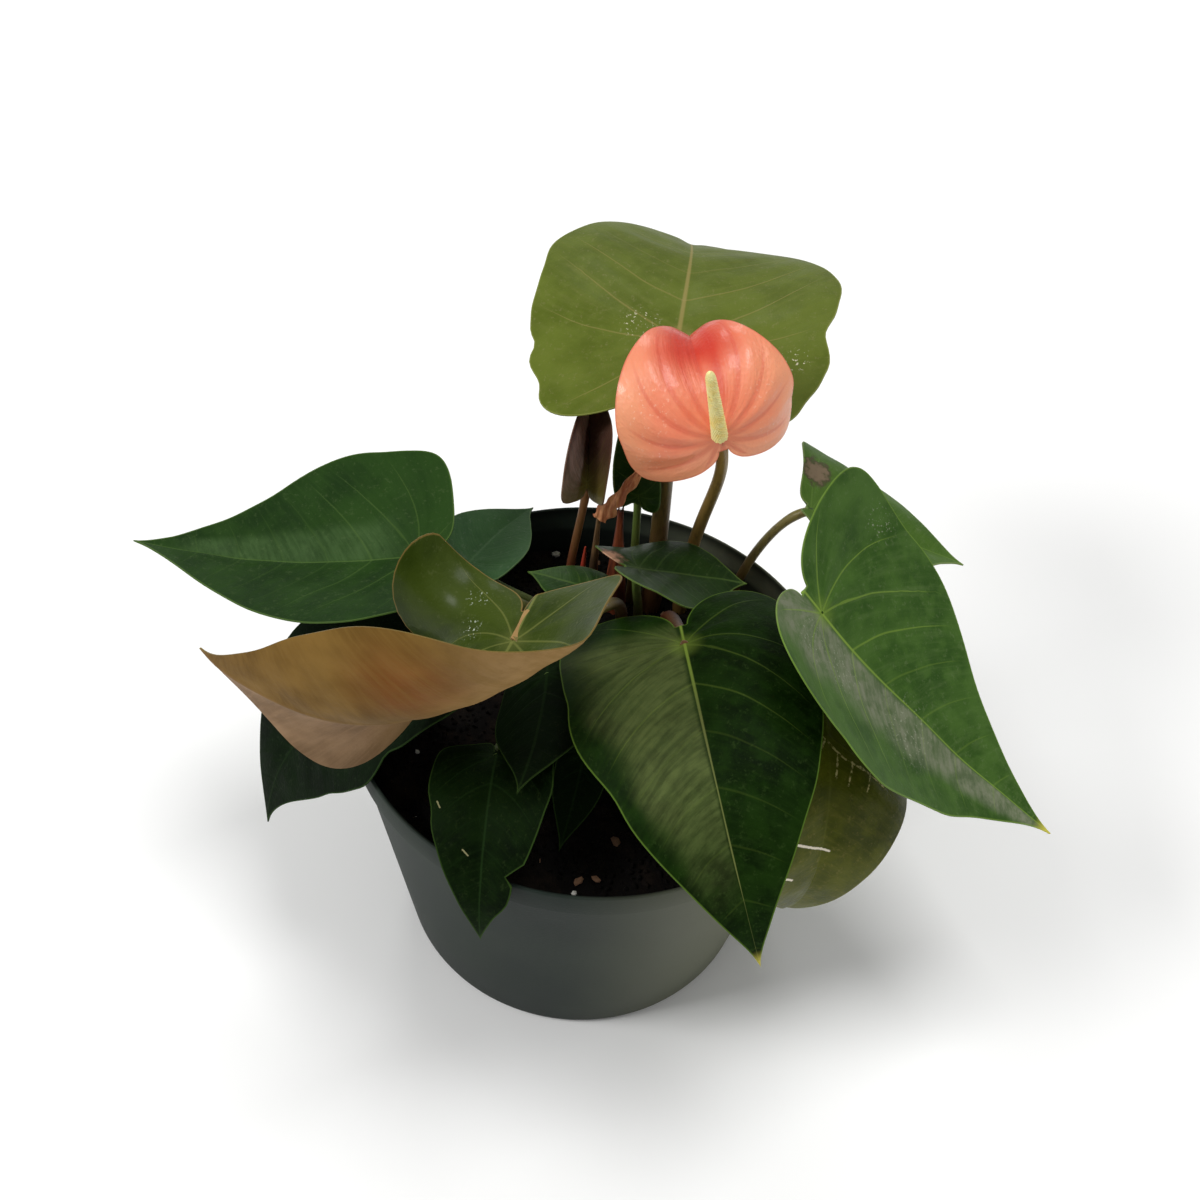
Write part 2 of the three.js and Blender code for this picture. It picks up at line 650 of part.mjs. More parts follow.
function sheathTube(sheath, extra = 0) {
  const swell = (t) => sheath.radius * (t < 0.5 ? 1 : 1 - 0.8 * ((t - 0.5) / 0.5) ** 2) + extra;
  return tube(sheathCurve(sheath, extra), swell, STEM_SIDES, 8);
}

// The dry bract is a crumpled strip caught on the tall sheath.
function bractSolid() {
  const surface = new Surface();
  const strip = [
    [[-3.5, 34, 149], [-1, 36.5, 147]],
    [[-1, 34, 155], [2.5, 36.5, 153]],
    [[3, 35, 162], [6.5, 37, 159.5]],
    [[7, 36.5, 169], [9.5, 38, 166]],
    [[10.5, 37, 176], [12, 38, 174]],
  ];
  strip.slice(1).forEach(([a, b], i) => {
    const corners = [strip[i][0], strip[i][1], b, a];
    surface.quad(...corners.map((point) => surface.vertex(new THREE.Vector3(...point))));
  });
  return thicken(surface, BLADE_THICKNESS);
}

// The object as one group of named meshes.
const plant = new THREE.Group();
plant.name = 'potted_flamingo_flower';

function addPart(name, geometry, look) {
  const mesh = new THREE.Mesh(geometry, new THREE.MeshStandardMaterial(finish[look]));
  mesh.name = name;
  plant.add(mesh);
}

const stemHoles = [];
for (const leaf of [...leaves, spathe]) {
  stemHoles.push(toSolid(stemTube(leaf, CLEARANCE)));
}
for (const sheath of sheaths) {
  stemHoles.push(toSolid(sheathTube(sheath, CLEARANCE)));
}

addPart('pot', potSolid(), 'pot');
addPart('soil', soilSolid(stemHoles), 'soil');
for (const leaf of leaves) {
  addPart(leaf.name, thicken(bladeSurface(leaf), BLADE_THICKNESS), leaf.finish);
  addPart(leaf.name.replace('leaf', 'stem'), stemSolid(leaf, BLADE_THICKNESS), leaf.stem.finish);
}
addPart('spathe', thicken(bladeSurface(spathe), SPATHE_THICKNESS), 'spathe');
addPart('flower_stem', stemSolid(spathe, SPATHE_THICKNESS), 'stem');
addPart('spadix', spadixSolid(), 'spadix');
for (const sheath of sheaths) {
  addPart(sheath.name, sheathTube(sheath), sheath.finish);
}
addPart('bract_dry', bractSolid(), 'bract');

export default plant;
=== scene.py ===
"""A potted flamingo flower: heart-shaped glossy leaves, a salmon spathe and a cream spadix.

Lengths in the tables are millimetres and angles are degrees. +Z is up, the pot's axis is Z,
and the plant is looked at from -Y.
"""

import math
from dataclasses import dataclass

import bmesh
import bpy
import numpy as np
from mathutils import Matrix, Vector


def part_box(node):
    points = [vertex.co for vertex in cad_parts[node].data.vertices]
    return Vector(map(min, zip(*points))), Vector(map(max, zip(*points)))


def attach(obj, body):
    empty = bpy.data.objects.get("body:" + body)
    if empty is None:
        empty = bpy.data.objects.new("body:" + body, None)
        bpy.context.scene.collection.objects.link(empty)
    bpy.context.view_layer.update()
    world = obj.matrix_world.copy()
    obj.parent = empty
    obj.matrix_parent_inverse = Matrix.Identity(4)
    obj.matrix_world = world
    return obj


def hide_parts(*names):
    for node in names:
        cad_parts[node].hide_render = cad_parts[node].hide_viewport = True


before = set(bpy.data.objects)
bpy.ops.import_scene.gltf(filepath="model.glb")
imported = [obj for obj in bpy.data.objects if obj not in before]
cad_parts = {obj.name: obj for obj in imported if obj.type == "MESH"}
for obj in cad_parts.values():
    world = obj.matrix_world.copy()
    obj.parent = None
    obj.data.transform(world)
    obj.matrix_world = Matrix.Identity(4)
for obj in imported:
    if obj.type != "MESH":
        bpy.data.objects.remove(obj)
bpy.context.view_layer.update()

bl_info = {
    "name": "Potted flamingo flower",
    "version": (1, 0, 0),
    "blender": (4, 5, 0),
    "location": "View3D > Sidebar > Flamingo flower",
    "description": "Builds a flamingo flower with its leaves, flower, soil and pot",
    "category": "Object",
}

MM = 0.001


def tint(red, green, blue):
    """A screen colour, 0 to 255, as the linear colour that nodes use."""
    return tuple(
        (c / 12.92 if c <= 0.04045 else ((c + 0.055) / 1.055) ** 2.4)
        for c in (red / 255, green / 255, blue / 255)
    )


# Sizes and colours that a user can change


def length_setting(name, description, value):
    return bpy.props.FloatProperty(
        name=name, description=description, default=value, min=0, unit="LENGTH", precision=4
    )


def count_setting(name, description, value):
    return bpy.props.IntProperty(name=name, description=description, default=value, min=0)


def share_setting(name, description, value):
    return bpy.props.FloatProperty(
        name=name, description=description, default=value, min=0, max=1, subtype="FACTOR"
    )


def colour_setting(name, description, colour):
    return bpy.props.FloatVectorProperty(
        name=name, description=description, default=tint(*colour), size=3, min=0, max=1, subtype="COLOR"
    )


POT_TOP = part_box("pot")[1]


class PotSettings(bpy.types.PropertyGroup):
    """Sizes and colours of the pot."""

    rim_radius: length_setting("Rim radius", "Outer radius of the rim", round(POT_TOP.x, 4))
    height: length_setting("Height", "Height of the pot", round(POT_TOP.z, 4))
    base_radius: length_setting("Base radius", "Outer radius at the base", 0.0575)
    wall: length_setting("Wall", "Thickness of the wall", 0.0016)
    floor: length_setting("Floor", "Thickness of the floor", 0.002)
    band: length_setting("Rim band", "Height of the band below the rim", 0.009)
    step: length_setting("Band step", "How far the band stands out", 0.0016)
    lip: length_setting("Lip", "Thickness of the rim's lip", 0.0012)
    drain_radius: length_setting("Drain radius", "Radius of a drain hole", 0.005)
    drain_circle: length_setting("Drain circle", "Radius of the circle of drain holes", 0.042)
    drain_count: count_setting("Drain holes", "Number of drain holes", 6)
    segments: count_setting("Segments", "Sides of the turned wall", 128)
    colour: colour_setting("Plastic", "Colour of the plastic", (19, 30, 25))
    worn: colour_setting("Worn plastic", "Colour where the plastic is rubbed or dusty", (50, 58, 50))


class SoilSettings(bpy.types.PropertyGroup):
    """Sizes, counts and colours of the soil."""

    top: length_setting("Top", "Height of the soil above the base", 0.094)
    bump: length_setting("Bumps", "Height of the soil's broad bumps", 0.0013)
    slump: length_setting("Slump", "How far the soil sinks at the wall", 0.0015)
    crumb_size: length_setting("Crumb size", "Radius of the largest crumbs", 0.0016)
    crumb_gap: length_setting("Crumb gap", "Least distance between crumbs", 0.0019)
    chip_count: count_setting("Bark chips", "Number of scattered bark chips", 26)
    perlite_count: count_setting("Perlite", "Number of scattered perlite grains", 16)
    seed: count_setting("Seed", "Seed of the scatter", 11)
    dark: colour_setting("Dark soil", "Colour of the wet peat", (13, 10, 8))
    light: colour_setting("Light soil", "Colour of the drier peat", (36, 27, 20))
    chip: colour_setting("Bark", "Colour of the bark chips", (150, 112, 84))
    perlite: colour_setting("Perlite", "Colour of the perlite", (226, 224, 214))


class LeafSettings(bpy.types.PropertyGroup):
    """Sizes that the leaves share, and how streaky they are."""

    thickness: length_setting("Thickness", "Thickness of a blade beside its midrib", 0.0008)
    margin: length_setting("Margin", "Thickness of a blade at its margin", 0.0004)
    ridge: length_setting("Midrib", "Height of the midrib below the blade", 0.0007)
    puff: length_setting("Puff", "How far the blade swells between its side veins", 0.00035)
    vein_width: length_setting("Vein width", "Width of a side vein", 0.0005)
    midrib_width: length_setting("Midrib width", "Half the width of the midrib at its base", 0.0007)
    mottle: length_setting("Mottle", "Size of the lighter and darker mottling", 0.006)
    streaks: share_setting("Streaks", "How far dust and sheen break into streaks", 0.5)


class FlowerSettings(bpy.types.PropertyGroup):
    """Sizes and colours of the spathe and the spadix."""

    spathe_thickness: length_setting("Spathe thickness", "Thickness of the spathe", 0.001)
    furrow: length_setting("Furrows", "Depth of the spathe's furrows", 0.0006)
    spadix_length: length_setting("Spadix length", "Length of the spadix", 0.0288)
    spadix_base: length_setting("Spadix base", "Radius of the spadix at its base", 0.0025)
    spadix_tip: length_setting("Spadix tip", "Radius of the spadix near its tip", 0.0014)
    floret_count: count_setting("Florets", "Number of florets on the spadix", 820)
    salmon: colour_setting("Salmon", "Main colour of the spathe", (238, 134, 98))
    pale: colour_setting("Pale salmon", "Colour towards the spathe's margin", (246, 160, 118))
    flame: colour_setting("Flame", "Colour of the spathe's tip and furrows", (196, 42, 14))
    cream: colour_setting("Cream", "Colour of the spadix", (255, 240, 170))
    ripe: colour_setting("Ripe", "Colour of the riper florets", (255, 226, 134))


class StageSettings(bpy.types.PropertyGroup):
    """The floor, the light and the camera."""

    floor_size: length_setting("Floor", "Side of the floor", 6.0)
    floor_colour: colour_setting("Floor colour", "Colour of the pale floor", (252, 252, 251))
    ambient: bpy.props.FloatProperty(
        name="Ambient", description="Strength of the even light", default=0.42, min=0
    )
    distance: length_setting("Distance", "Camera's distance from the pot's axis point", 0.587)
    lens: bpy.props.FloatProperty(
        name="Lens", description="Focal length of the camera", default=57.0, min=1, unit="CAMERA"
    )


# The leaves and the spathe


@dataclass
class Blade:
    """A leaf blade or the spathe.

    The stem meets it at the junction. The turn is its heading, rise and roll there. The bend
    is the droop, swing and twist of its midrib. The fold raises each half from the midrib, at
    the base and at the tip, and the cup curls it across, left half first. The shape gives the
    widest place, the reach of the lobes behind the junction and half their spread, as parts
    of the size. Lobes can give a half its own reach and spread. A bump moves a half's margin
    by its size around its place. The stalk is where the stem leaves the soil, how far it rises
    straight, the place that it bends towards, its radius and its colour.
    """

    name: str
    look: str
    size: tuple
    junction: tuple
    turn: tuple
    bend: tuple
    fold: tuple
    cup: tuple
    shape: tuple
    stalk: tuple
    lobe_droop: float = 0
    lobe_cup: tuple = (0, 0)
    lobes: tuple = (None, None)
    bumps: tuple = ((), ())

    def __post_init__(self):
        """Works out the blade's own directions along the midrib, from the lobes to the tip."""
        self.length, self.width = self.size
        self.junction = np.array(self.junction, float)
        heading, rise, roll = np.radians(self.turn)
        ahead = np.array([math.cos(heading), math.sin(heading), 0.0])
        level = np.array([-math.sin(heading), math.cos(heading), 0.0])
        along = ahead * math.cos(rise) + (0.0, 0.0, math.sin(rise))
        side = turned(level, along, roll)
        up = turned(np.cross(along, level), along, roll)
        self.base = (along, side, up)
        frames = [(0.0, self.junction, along, side, up)]
        angles = np.radians(self.bend) / MIDRIB_STEPS
        for _ in range(MIDRIB_STEPS):
            frames.append(stepped(frames[-1], self.length / MIDRIB_STEPS, *angles))
        droop = -math.radians(self.lobe_droop) / LOBE_STEPS
        for _ in range(LOBE_STEPS):
            frames.insert(0, stepped(frames[0], -LOBE_REACH * self.length / LOBE_STEPS, droop, 0, 0))
        self.places = np.array([f[0] for f in frames])
        self.points = np.array([f[1] for f in frames])
        self.slopes = np.gradient(self.points, self.places, axis=0)
        self.sides = np.array([f[3] for f in frames])
        self.ups = np.array([f[4] for f in frames])

    def on_midrib(self, s):
        """Points, side and up directions at places along the midrib."""
        i = np.clip(np.searchsorted(self.places, s, side="right") - 1, 0, len(self.places) - 2)
        gap = self.places[i + 1] - self.places[i]
        t = ((s - self.places[i]) / gap)[..., None]
        gap = gap[..., None]
        point = (
            (2 * t**3 - 3 * t**2 + 1) * self.points[i]
            + (t**3 - 2 * t**2 + t) * gap * self.slopes[i]
            + (3 * t**2 - 2 * t**3) * self.points[i + 1]
            + (t**3 - t**2) * gap * self.slopes[i + 1]
        )
        side = unit(self.sides[i] * (1 - t) + self.sides[i + 1] * t)
        up = unit(self.ups[i] * (1 - t) + self.ups[i + 1] * t)
        return point, side, up

    def on_blade(self, s, y):
        """Points of the blade, s along the midrib and y to the left (+) or right (-)."""
        point, side, up = self.on_midrib(s)
        left = y >= 0
        place = np.clip(s / self.length, -0.3, 1)
        fold = np.radians(np.where(left, *(base + (tip - base) * place for base, tip in self.fold)))
        in_lobe = np.clip(-s / (self.shape[1] * self.length), 0, 1)
        cup = np.where(left, *self.cup) + in_lobe * np.where(left, *self.lobe_cup)
        bend = np.radians(cup + 1e-3) / (self.width / 2)
        reach = np.abs(y)
        out = (np.sin(fold + bend * reach) - np.sin(fold)) / bend
        lift = (np.cos(fold) - np.cos(fold + bend * reach)) / bend
        return point + side * (np.sign(y) * out)[..., None] + up * lift[..., None]

    def heart(self, lobe, counts):
        """Half of the flat heart outline, from the tip round the lobe to the notch."""
        back, spread = lobe
        widest, reach = self.shape[:2]
        size, half = self.length, self.width / 2
        notch = np.array([-0.4 * reach * size, 0.025 * self.width])
        end = np.array([-back * size, spread * self.width])
        wide = np.array([widest * size, half])
        curves = (
            ((size, 0), (0.78 * size, 0.1 * half), ((widest + 0.36) * size, 1.06 * half), wide),
            (wide, ((widest - 0.17) * size, 0.97 * half), (end[0], end[1] + 0.24 * self.width), end),
            (end, (end[0], end[1] - 0.14 * self.width), notch + (-0.09 * size, 0.015 * self.width), notch),
        )
        pieces = [bezier(curve, count)[:-1] for curve, count in zip(curves, counts)]
        return np.concatenate([*pieces, notch[None]])

    def margin(self, half, counts):
        """One half's own outline, with its bumps."""
        outline = self.heart(self.lobes[half] or self.shape[1:], counts)
        inward = np.minimum(1, outline[:, 1] / 5)
        for at, size, spread in self.bumps[half]:
            outline[:, 1] += size * np.exp(-(((outline[:, 0] / self.length - at) / spread) ** 2)) * inward
        ripple = waves(outline, 0.16 * self.length, seed=len(self.name) + half)
        outline[:, 1] += 0.004 * self.width * ripple * inward
        return outline

    def grid(self, half, counts, rows):
        """Flat places s and y of one half's columns, each from the midrib to the margin."""
        outline = self.margin(half, counts)
        plain = self.heart(self.shape[1:], counts)
        roots = np.maximum(0, plain[:, 0] - 0.5 * plain[:, 1])
        roots[-1] = outline[-1, 0]
        share = (np.arange(rows + 1) / rows) ** 1.4
        s = roots[:, None] + (outline[:, :1] - roots[:, None]) * share
        y = outline[:, 1:] * share * (1, -1)[half]
        return s, y, np.broadcast_to(share, s.shape), outline


MIDRIB_STEPS = 20
LOBE_STEPS = 5
LOBE_REACH = 0.45
CLEARANCE = 0.3
ROOT_DEPTH = 9
SEAT_DEPTH = 0.35
SOIL_TOP = 94

DEEP = "deep"


def unit(vectors):
    """The vectors, each made one long."""
    return vectors / np.maximum(1e-12, np.linalg.norm(vectors, axis=-1, keepdims=True))


def turned(vector, axis, angle):
    """The vector turned about the axis."""
    return (
        vector * math.cos(angle)
        + np.cross(axis, vector) * math.sin(angle)
        + axis * (axis @ vector) * (1 - math.cos(angle))
    )


def stepped(start, step, droop, swing, twist):
    """The next place along a midrib that droops, swings and twists on the way."""
    s, point, along, side, up = start
    along, up = turned(along, side, droop), turned(up, side, droop)
    along, side = turned(along, up, swing), turned(side, up, swing)
    side, up = turned(side, along, twist), turned(up, along, twist)
    return s + step, point + along * step, along, side, up


def bezier(corners, count):
    """Points of a cubic curve given by its four corners."""
    a, b, c, d = (np.asarray(corner, float) for corner in corners)
    t = np.linspace(0, 1, count + 1)[:, None]
    return a * (1 - t) ** 3 + 3 * b * t * (1 - t) ** 2 + 3 * c * t**2 * (1 - t) + d * t**3


def arc(start, middle, end, count):
    """Points of a curve given by its three corners."""
    t = np.linspace(0, 1, count + 1)[:, None]
    return start * (1 - t) ** 2 + middle * 2 * t * (1 - t) + end * t**2


def waves(points, size, seed, count=7):
    """Soft noise from -1 to 1 that varies over about the given size."""
    draw = np.random.default_rng(seed)
    total = np.zeros(points.shape[:-1])
    for _ in range(count):
        way = unit(draw.normal(size=points.shape[-1]))
        total += np.sin(points @ way * (2 * math.pi / (size * draw.uniform(0.7, 1.6))) + draw.uniform(0, 6.3))
    return total / count * 1.4


def smooth(value, low, high):
    """0 below low and 1 above high, with a smooth rise between."""
    t = np.clip((value - low) / (high - low), 0, 1)
    return t * t * (3 - 2 * t)


LEAVES = (
    Blade("far_left", DEEP, (88, 79), (-58, 23, 134), (188, -11, 6), (-17, -13, -3),
          ((23, 13), (18, 12)), (-6, 1), (0.14, 0.15, 0.27),
          stalk=((-13, 28), 14, (-46, 27, 120), 1.7, "green"), lobe_droop=-10,
          bumps=((), ((0.62, -3.5, 0.2),))),
    Blade("behind_left", "blue", (34, 32), (-43, 40, 115), (62, 3, -6), (16, -4, 0),
          ((18, 15), (18, 15)), (-8, -8), (0.15, 0.22, 0.25),
          stalk=((-14, 35), 8, (-36, 35, 108), 1.3, "green")),
    Blade("copper", "copper", (101, 92), (-23, -37, 172), (250, -18, -12), (-54, -113, 65),
          ((34, 40), (-38, -15)), (61, -51), (0.33, 0.27, 0.32),
          stalk=((7, 26), 42, (2, -16, 158), 1.8, "brown"), lobe_droop=60, lobe_cup=(-30, 155),
          lobes=((0.22, 0.24), (0.285, 0.33)), bumps=(((-0.08, -9, 0.13),), ())),
    Blade("low_left", "dim", (78, 72), (-55, -4, 117), (199, -9, 3), (69, 22, -10),
          ((23, -8), (8, 3)), (-13, -10), (0.19, 0.23, 0.29),
          stalk=((-13, 20), 10, (-40, 0, 109), 1.6, "brown"), lobe_droop=1,
          bumps=(((0.2, -2.2, 0.05), (0.36, 1.2, 0.07), (0.56, -1.2, 0.06)), ((0.3, -0.8, 0.06),))),
    Blade("front", "satin", (104, 74), (25, -14, 149), (-82, 19, 10), (94, 6, 3),
          ((12, 13), (-3, 22)), (-47, 0), (0.12, 0.27, 0.3),
          stalk=((20, 30), 26, (24, 2, 136), 1.9, "red"), lobe_droop=7,
          bumps=(((0.5, 0.6, 0.08),), ((0.16, -1.1, 0.05), (0.44, -1.4, 0.06), (0.3, 0.6, 0.06)))),
    Blade("right", "dusty", (104, 89), (63, -3, 156), (-15, -47, 2), (-21, -4, 5),
          ((10, -3), (8, 2)), (5, 27), (0.16, 0.23, 0.33),
          stalk=((33, 41), 8, (58, 16, 124), 1.9, "green"), lobe_droop=-13,
          bumps=(((0.6, -4, 0.2),),
                 ((0.5, -2.5, 0.2), (0.12, -1.0, 0.04), (0.32, 0.8, 0.05), (0.66, 1.2, 0.07)))),
    Blade("back_right", "fresh", (55, 64), (63, 56, 137), (2, -19, -14), (1, -5, 4),
          ((46, 13), (19, 11)), (-66, -12), (0.14, 0.09, 0.27),
          stalk=((42, 49), 14, (52, 56, 134), 1.5, "brown"), lobe_droop=-6),
    Blade("low_right", "bronze", (87, 79), (67, -13, 131), (-79, 6, -9), (127, 2, -1),
          ((-24, 24), (18, 20)), (-46, -9), (0.12, 0.24, 0.25),
          stalk=((29, 34), 12, (60, 4, 120), 1.7, "brown"), lobe_droop=-3),
    Blade("top", "olive", (106, 93), (15, 70, 191), (86, 7, 2), (63, 0, 9),
          ((0, 14), (6, 7)), (-24, 5), (0.23, 0.3, 0.29),
          stalk=((16, 47), 50, (15, 57, 176), 2.7, "brown"),
          bumps=(((-0.04, -2.0, 0.035), (-0.18, -2.6, 0.05), (0.1, 0.8, 0.06), (0.3, -1.0, 0.08)),
                 ((0.06, -2.2, 0.06), (-0.06, 0.9, 0.04), (-0.2, -1.6, 0.05), (0.26, 1.2, 0.08)))),
    Blade("maroon", "maroon", (31, 39), (-8, 38, 158), (95, 52, 0), (29, -4, 5),
          ((56, 64), (63, 54)), (18, 27), (0.13, 0.15, 0.26),
          stalk=((-12, 38), 30, (-8, 36, 146), 1.3, "red")),
    Blade("behind_flower", DEEP, (34, 18), (8, 48, 145), (124, 72, -18), (10, 0, 0),
          ((25, 15), (48, 30)), (5, 5), (0.14, 0.15, 0.22),
          stalk=((9, 48), 26, (8, 54, 139), 1.3, "green"), lobes=((0.05, 0.2), None)),
    Blade("center", "torn", (35, 44), (10, 22, 139.5), (8, -12, -15), (0, 0, 22),
          ((1, 14), (21, 8)), (-36, -7), (0.17, 0.31, 0.28),
          stalk=((12, 35), 16, (9, 23, 129), 1.4, "green"), lobe_droop=-14),
    Blade("shaded", DEEP, (22, 20), (-4, 23, 127), (163, -4, 5), (10, -9, 0),
          ((11, 10), (4, 10)), (-16, -24), (0.15, 0.24, 0.25),
          stalk=((-3, 28), 10, (-2, 25, 118), 1.2, "green")),
    Blade("hanging", "shade", (46, 35), (-14, -15, 130.5), (-88, 3, 23), (-9, -12, -2),
          ((1, -6), (-10, 1)), (-22, -18), (0.17, 0.24, 0.25),
          stalk=((-6, 21), 12, (-12, -4, 122), 1.3, "green"), lobe_droop=2,
          lobes=((0.14, 0.2), None)),
    Blade("over_rim", "scuffed", (62, 37), (-26, -40.5, 123), (-93, 10, 8), (104, -9, 0),
          ((19, 16), (1, 13)), (-8, -12), (0.1, 0.08, 0.25),
          stalk=((1, 17), 6, (-34, -31, 107), 1.4, "green"), lobe_droop=2,
          bumps=(((0.2, 0.8, 0.07), (0.56, -4.2, 0.03), (0.7, 1.2, 0.06)), ((0.3, -0.8, 0.06),))),
    Blade("sliver", "shade", (30, 16), (-1, -33, 118), (-98, -36, -9), (14, -4, 0),
          ((13, 15), (20, 13)), (-14, -8), (0.16, 0.2, 0.25),
          stalk=((8, 18), 8, (2, -18, 112), 1.1, "green")),
)

SPATHE = Blade("spathe", "spathe", (49, 55), (28, 20, 201), (136, 59, -30), (126, -12, 0),
               ((6, 59), (5, 46)), (-43, -59), (0.13, 0.23, 0.33),
               stalk=((25.5, 46), 52, (35, 28, 173), 1.9, "flower"), lobe_droop=9)


# Meshes and pieces


def link(obj):
    """Puts an object into the scene."""
    bpy.context.scene.collection.objects.link(obj)
    return obj


def mesh_object(name, points, faces, materials, slots=None, sharp=55):
    """A smooth-shaded mesh object from points in millimetres."""
    mesh = bpy.data.meshes.new(name)
    mesh.from_pydata((np.asarray(points) * MM).tolist(), [], faces)
    for material in materials:
        mesh.materials.append(material)
    if slots is not None:
        mesh.polygons.foreach_set("material_index", slots)
    mesh.shade_smooth()
    mesh.set_sharp_from_angle(angle=math.radians(sharp))
    mesh.update()
    return link(bpy.data.objects.new(name, mesh))


def give_attribute(mesh, name, values):
    """Keeps a vector for each point of a mesh, for its material."""
    attribute = mesh.attributes.new(name, "FLOAT_VECTOR", "POINT")
    attribute.data.foreach_set("vector", np.asarray(values, np.float32).ravel())


def place_piece(obj, slot, *nodes):
    """The piece rides with the plant and stands for its nodes. The slot is not used."""
    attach(obj, "root")
    if nodes:
        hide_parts(*nodes)


def baked(obj, name):
    """A plain mesh of the object with its modifiers, in place of the object."""
    graph = bpy.context.evaluated_depsgraph_get()
    mesh = bpy.data.meshes.new_from_object(
        obj.evaluated_get(graph), preserve_all_data_layers=True, depsgraph=graph
    )
    bpy.data.objects.remove(obj)
    mesh.name = name
    return link(bpy.data.objects.new(name, mesh))


# Node helpers


def is_socket(value):
    return isinstance(value, bpy.types.NodeSocket)


def feed(made, values):
    """Links the values that are sockets to the node's inputs, and sets the others."""
    for key, value in values.items():
        if is_socket(value):
            made.id_data.links.new(value, made.inputs[key])
        else:
            made.inputs[key].default_value = value


def node(tree, kind, values=None, **options):
    """Adds a node with its options and its input values."""
    made = tree.nodes.new(kind)
    for key, value in options.items():
        setattr(made, key, value)
    feed(made, values or {})
    return made


def number_node(kind, values, **options):
    """The outputs of a shader or maths node, in the tree of the first socket among its values."""
    tree = next(value.id_data for value in values.values() if is_socket(value))
    return node(tree, f"ShaderNode{kind}", values, **options).outputs


def calc(operation, *values):
    return number_node("Math", dict(enumerate(values)), operation=operation)[0]


def times(first, second):
    return calc("MULTIPLY", first, second)


def plus(first, *others):
    for other in others:
        first = calc("ADD", first, other)
    return first


def minus(first, second):
    return calc("SUBTRACT", first, second)


def vector_calc(operation, *values):
    return number_node("VectorMath", dict(enumerate(values)), operation=operation)[0]


def distance(first, second):
    return number_node("VectorMath", {0: first, 1: second}, operation="DISTANCE")["Value"]


def scaled(vector, factor):
    return number_node("VectorMath", {0: vector, "Scale": factor}, operation="SCALE")[0]


def split(vector):
    """The three numbers of a vector."""
    return number_node("SeparateXYZ", {0: vector})


def vector_of(*values):
    """A vector made of numbers."""
    return number_node("CombineXYZ", dict(enumerate(values)))[0]


def ramped(value, low, high, start=0.0, end=1.0):
    """Maps low..high to start..end with a smooth step."""
    values = {0: value, 1: low, 2: high, 3: start, 4: end}
    return number_node("MapRange", values, interpolation_type="SMOOTHSTEP")[0]


def blended(share, first, second):
    """The first colour, with a share of the second over it."""
    first, second = (colour if is_socket(colour) else (*colour, 1) for colour in (first, second))
    return number_node("Mix", {0: share, 6: first, 7: second}, data_type="RGBA")[2]


def noise(vector, scale, detail=3.0, roughness=0.5):
    """Soft noise from 0 to 1."""
    values = {"Vector": vector, "Scale": scale, "Detail": detail, "Roughness": roughness}
    return number_node("TexNoise", values)[0]


def weighted(outputs, **shares):
    """The sum of a group's outputs, each times its share."""
    return plus(*(times(outputs[name], share) for name, share in shares.items()))


def group_tree(name, kind, inputs, outputs):
    """An empty node group with the given sockets, and its input and output nodes."""
    tree = bpy.data.node_groups.new(name, kind)
    for direction, sockets in (("INPUT", inputs), ("OUTPUT", outputs)):
        for socket_name, socket_type, *value in sockets:
            made = tree.interface.new_socket(name=socket_name, in_out=direction, socket_type=socket_type)
            if value:
                made.default_value = value[0]
    return tree, node(tree, "NodeGroupInput"), node(tree, "NodeGroupOutput")


FLOAT, VECTOR, WHOLE = "NodeSocketFloat", "NodeSocketVector", "NodeSocketInt"
GEOMETRY, MATERIAL = "NodeSocketGeometry", "NodeSocketMaterial"


def geometry_tree(name, *inputs):
    """A geometry tree whose inputs stand between its geometry and its material."""
    inputs = [("Geometry", GEOMETRY), *inputs, ("Material", MATERIAL)]
    tree, start, end = group_tree(name, "GeometryNodeTree", inputs, [("Geometry", GEOMETRY)])
    return tree, start.outputs, end


def shared_group(name, build, values):
    """The outputs of the shader group of that name, which is built on first use."""
    return number_node("Group", values, node_tree=bpy.data.node_groups.get(name) or build(name))


def shader_group(name, inputs, outputs):
    """An empty shader group that puts out numbers."""
    tree, start, end = group_tree(name, "ShaderNodeTree", inputs, [(output, FLOAT) for output in outputs])
    return tree, start.outputs, end


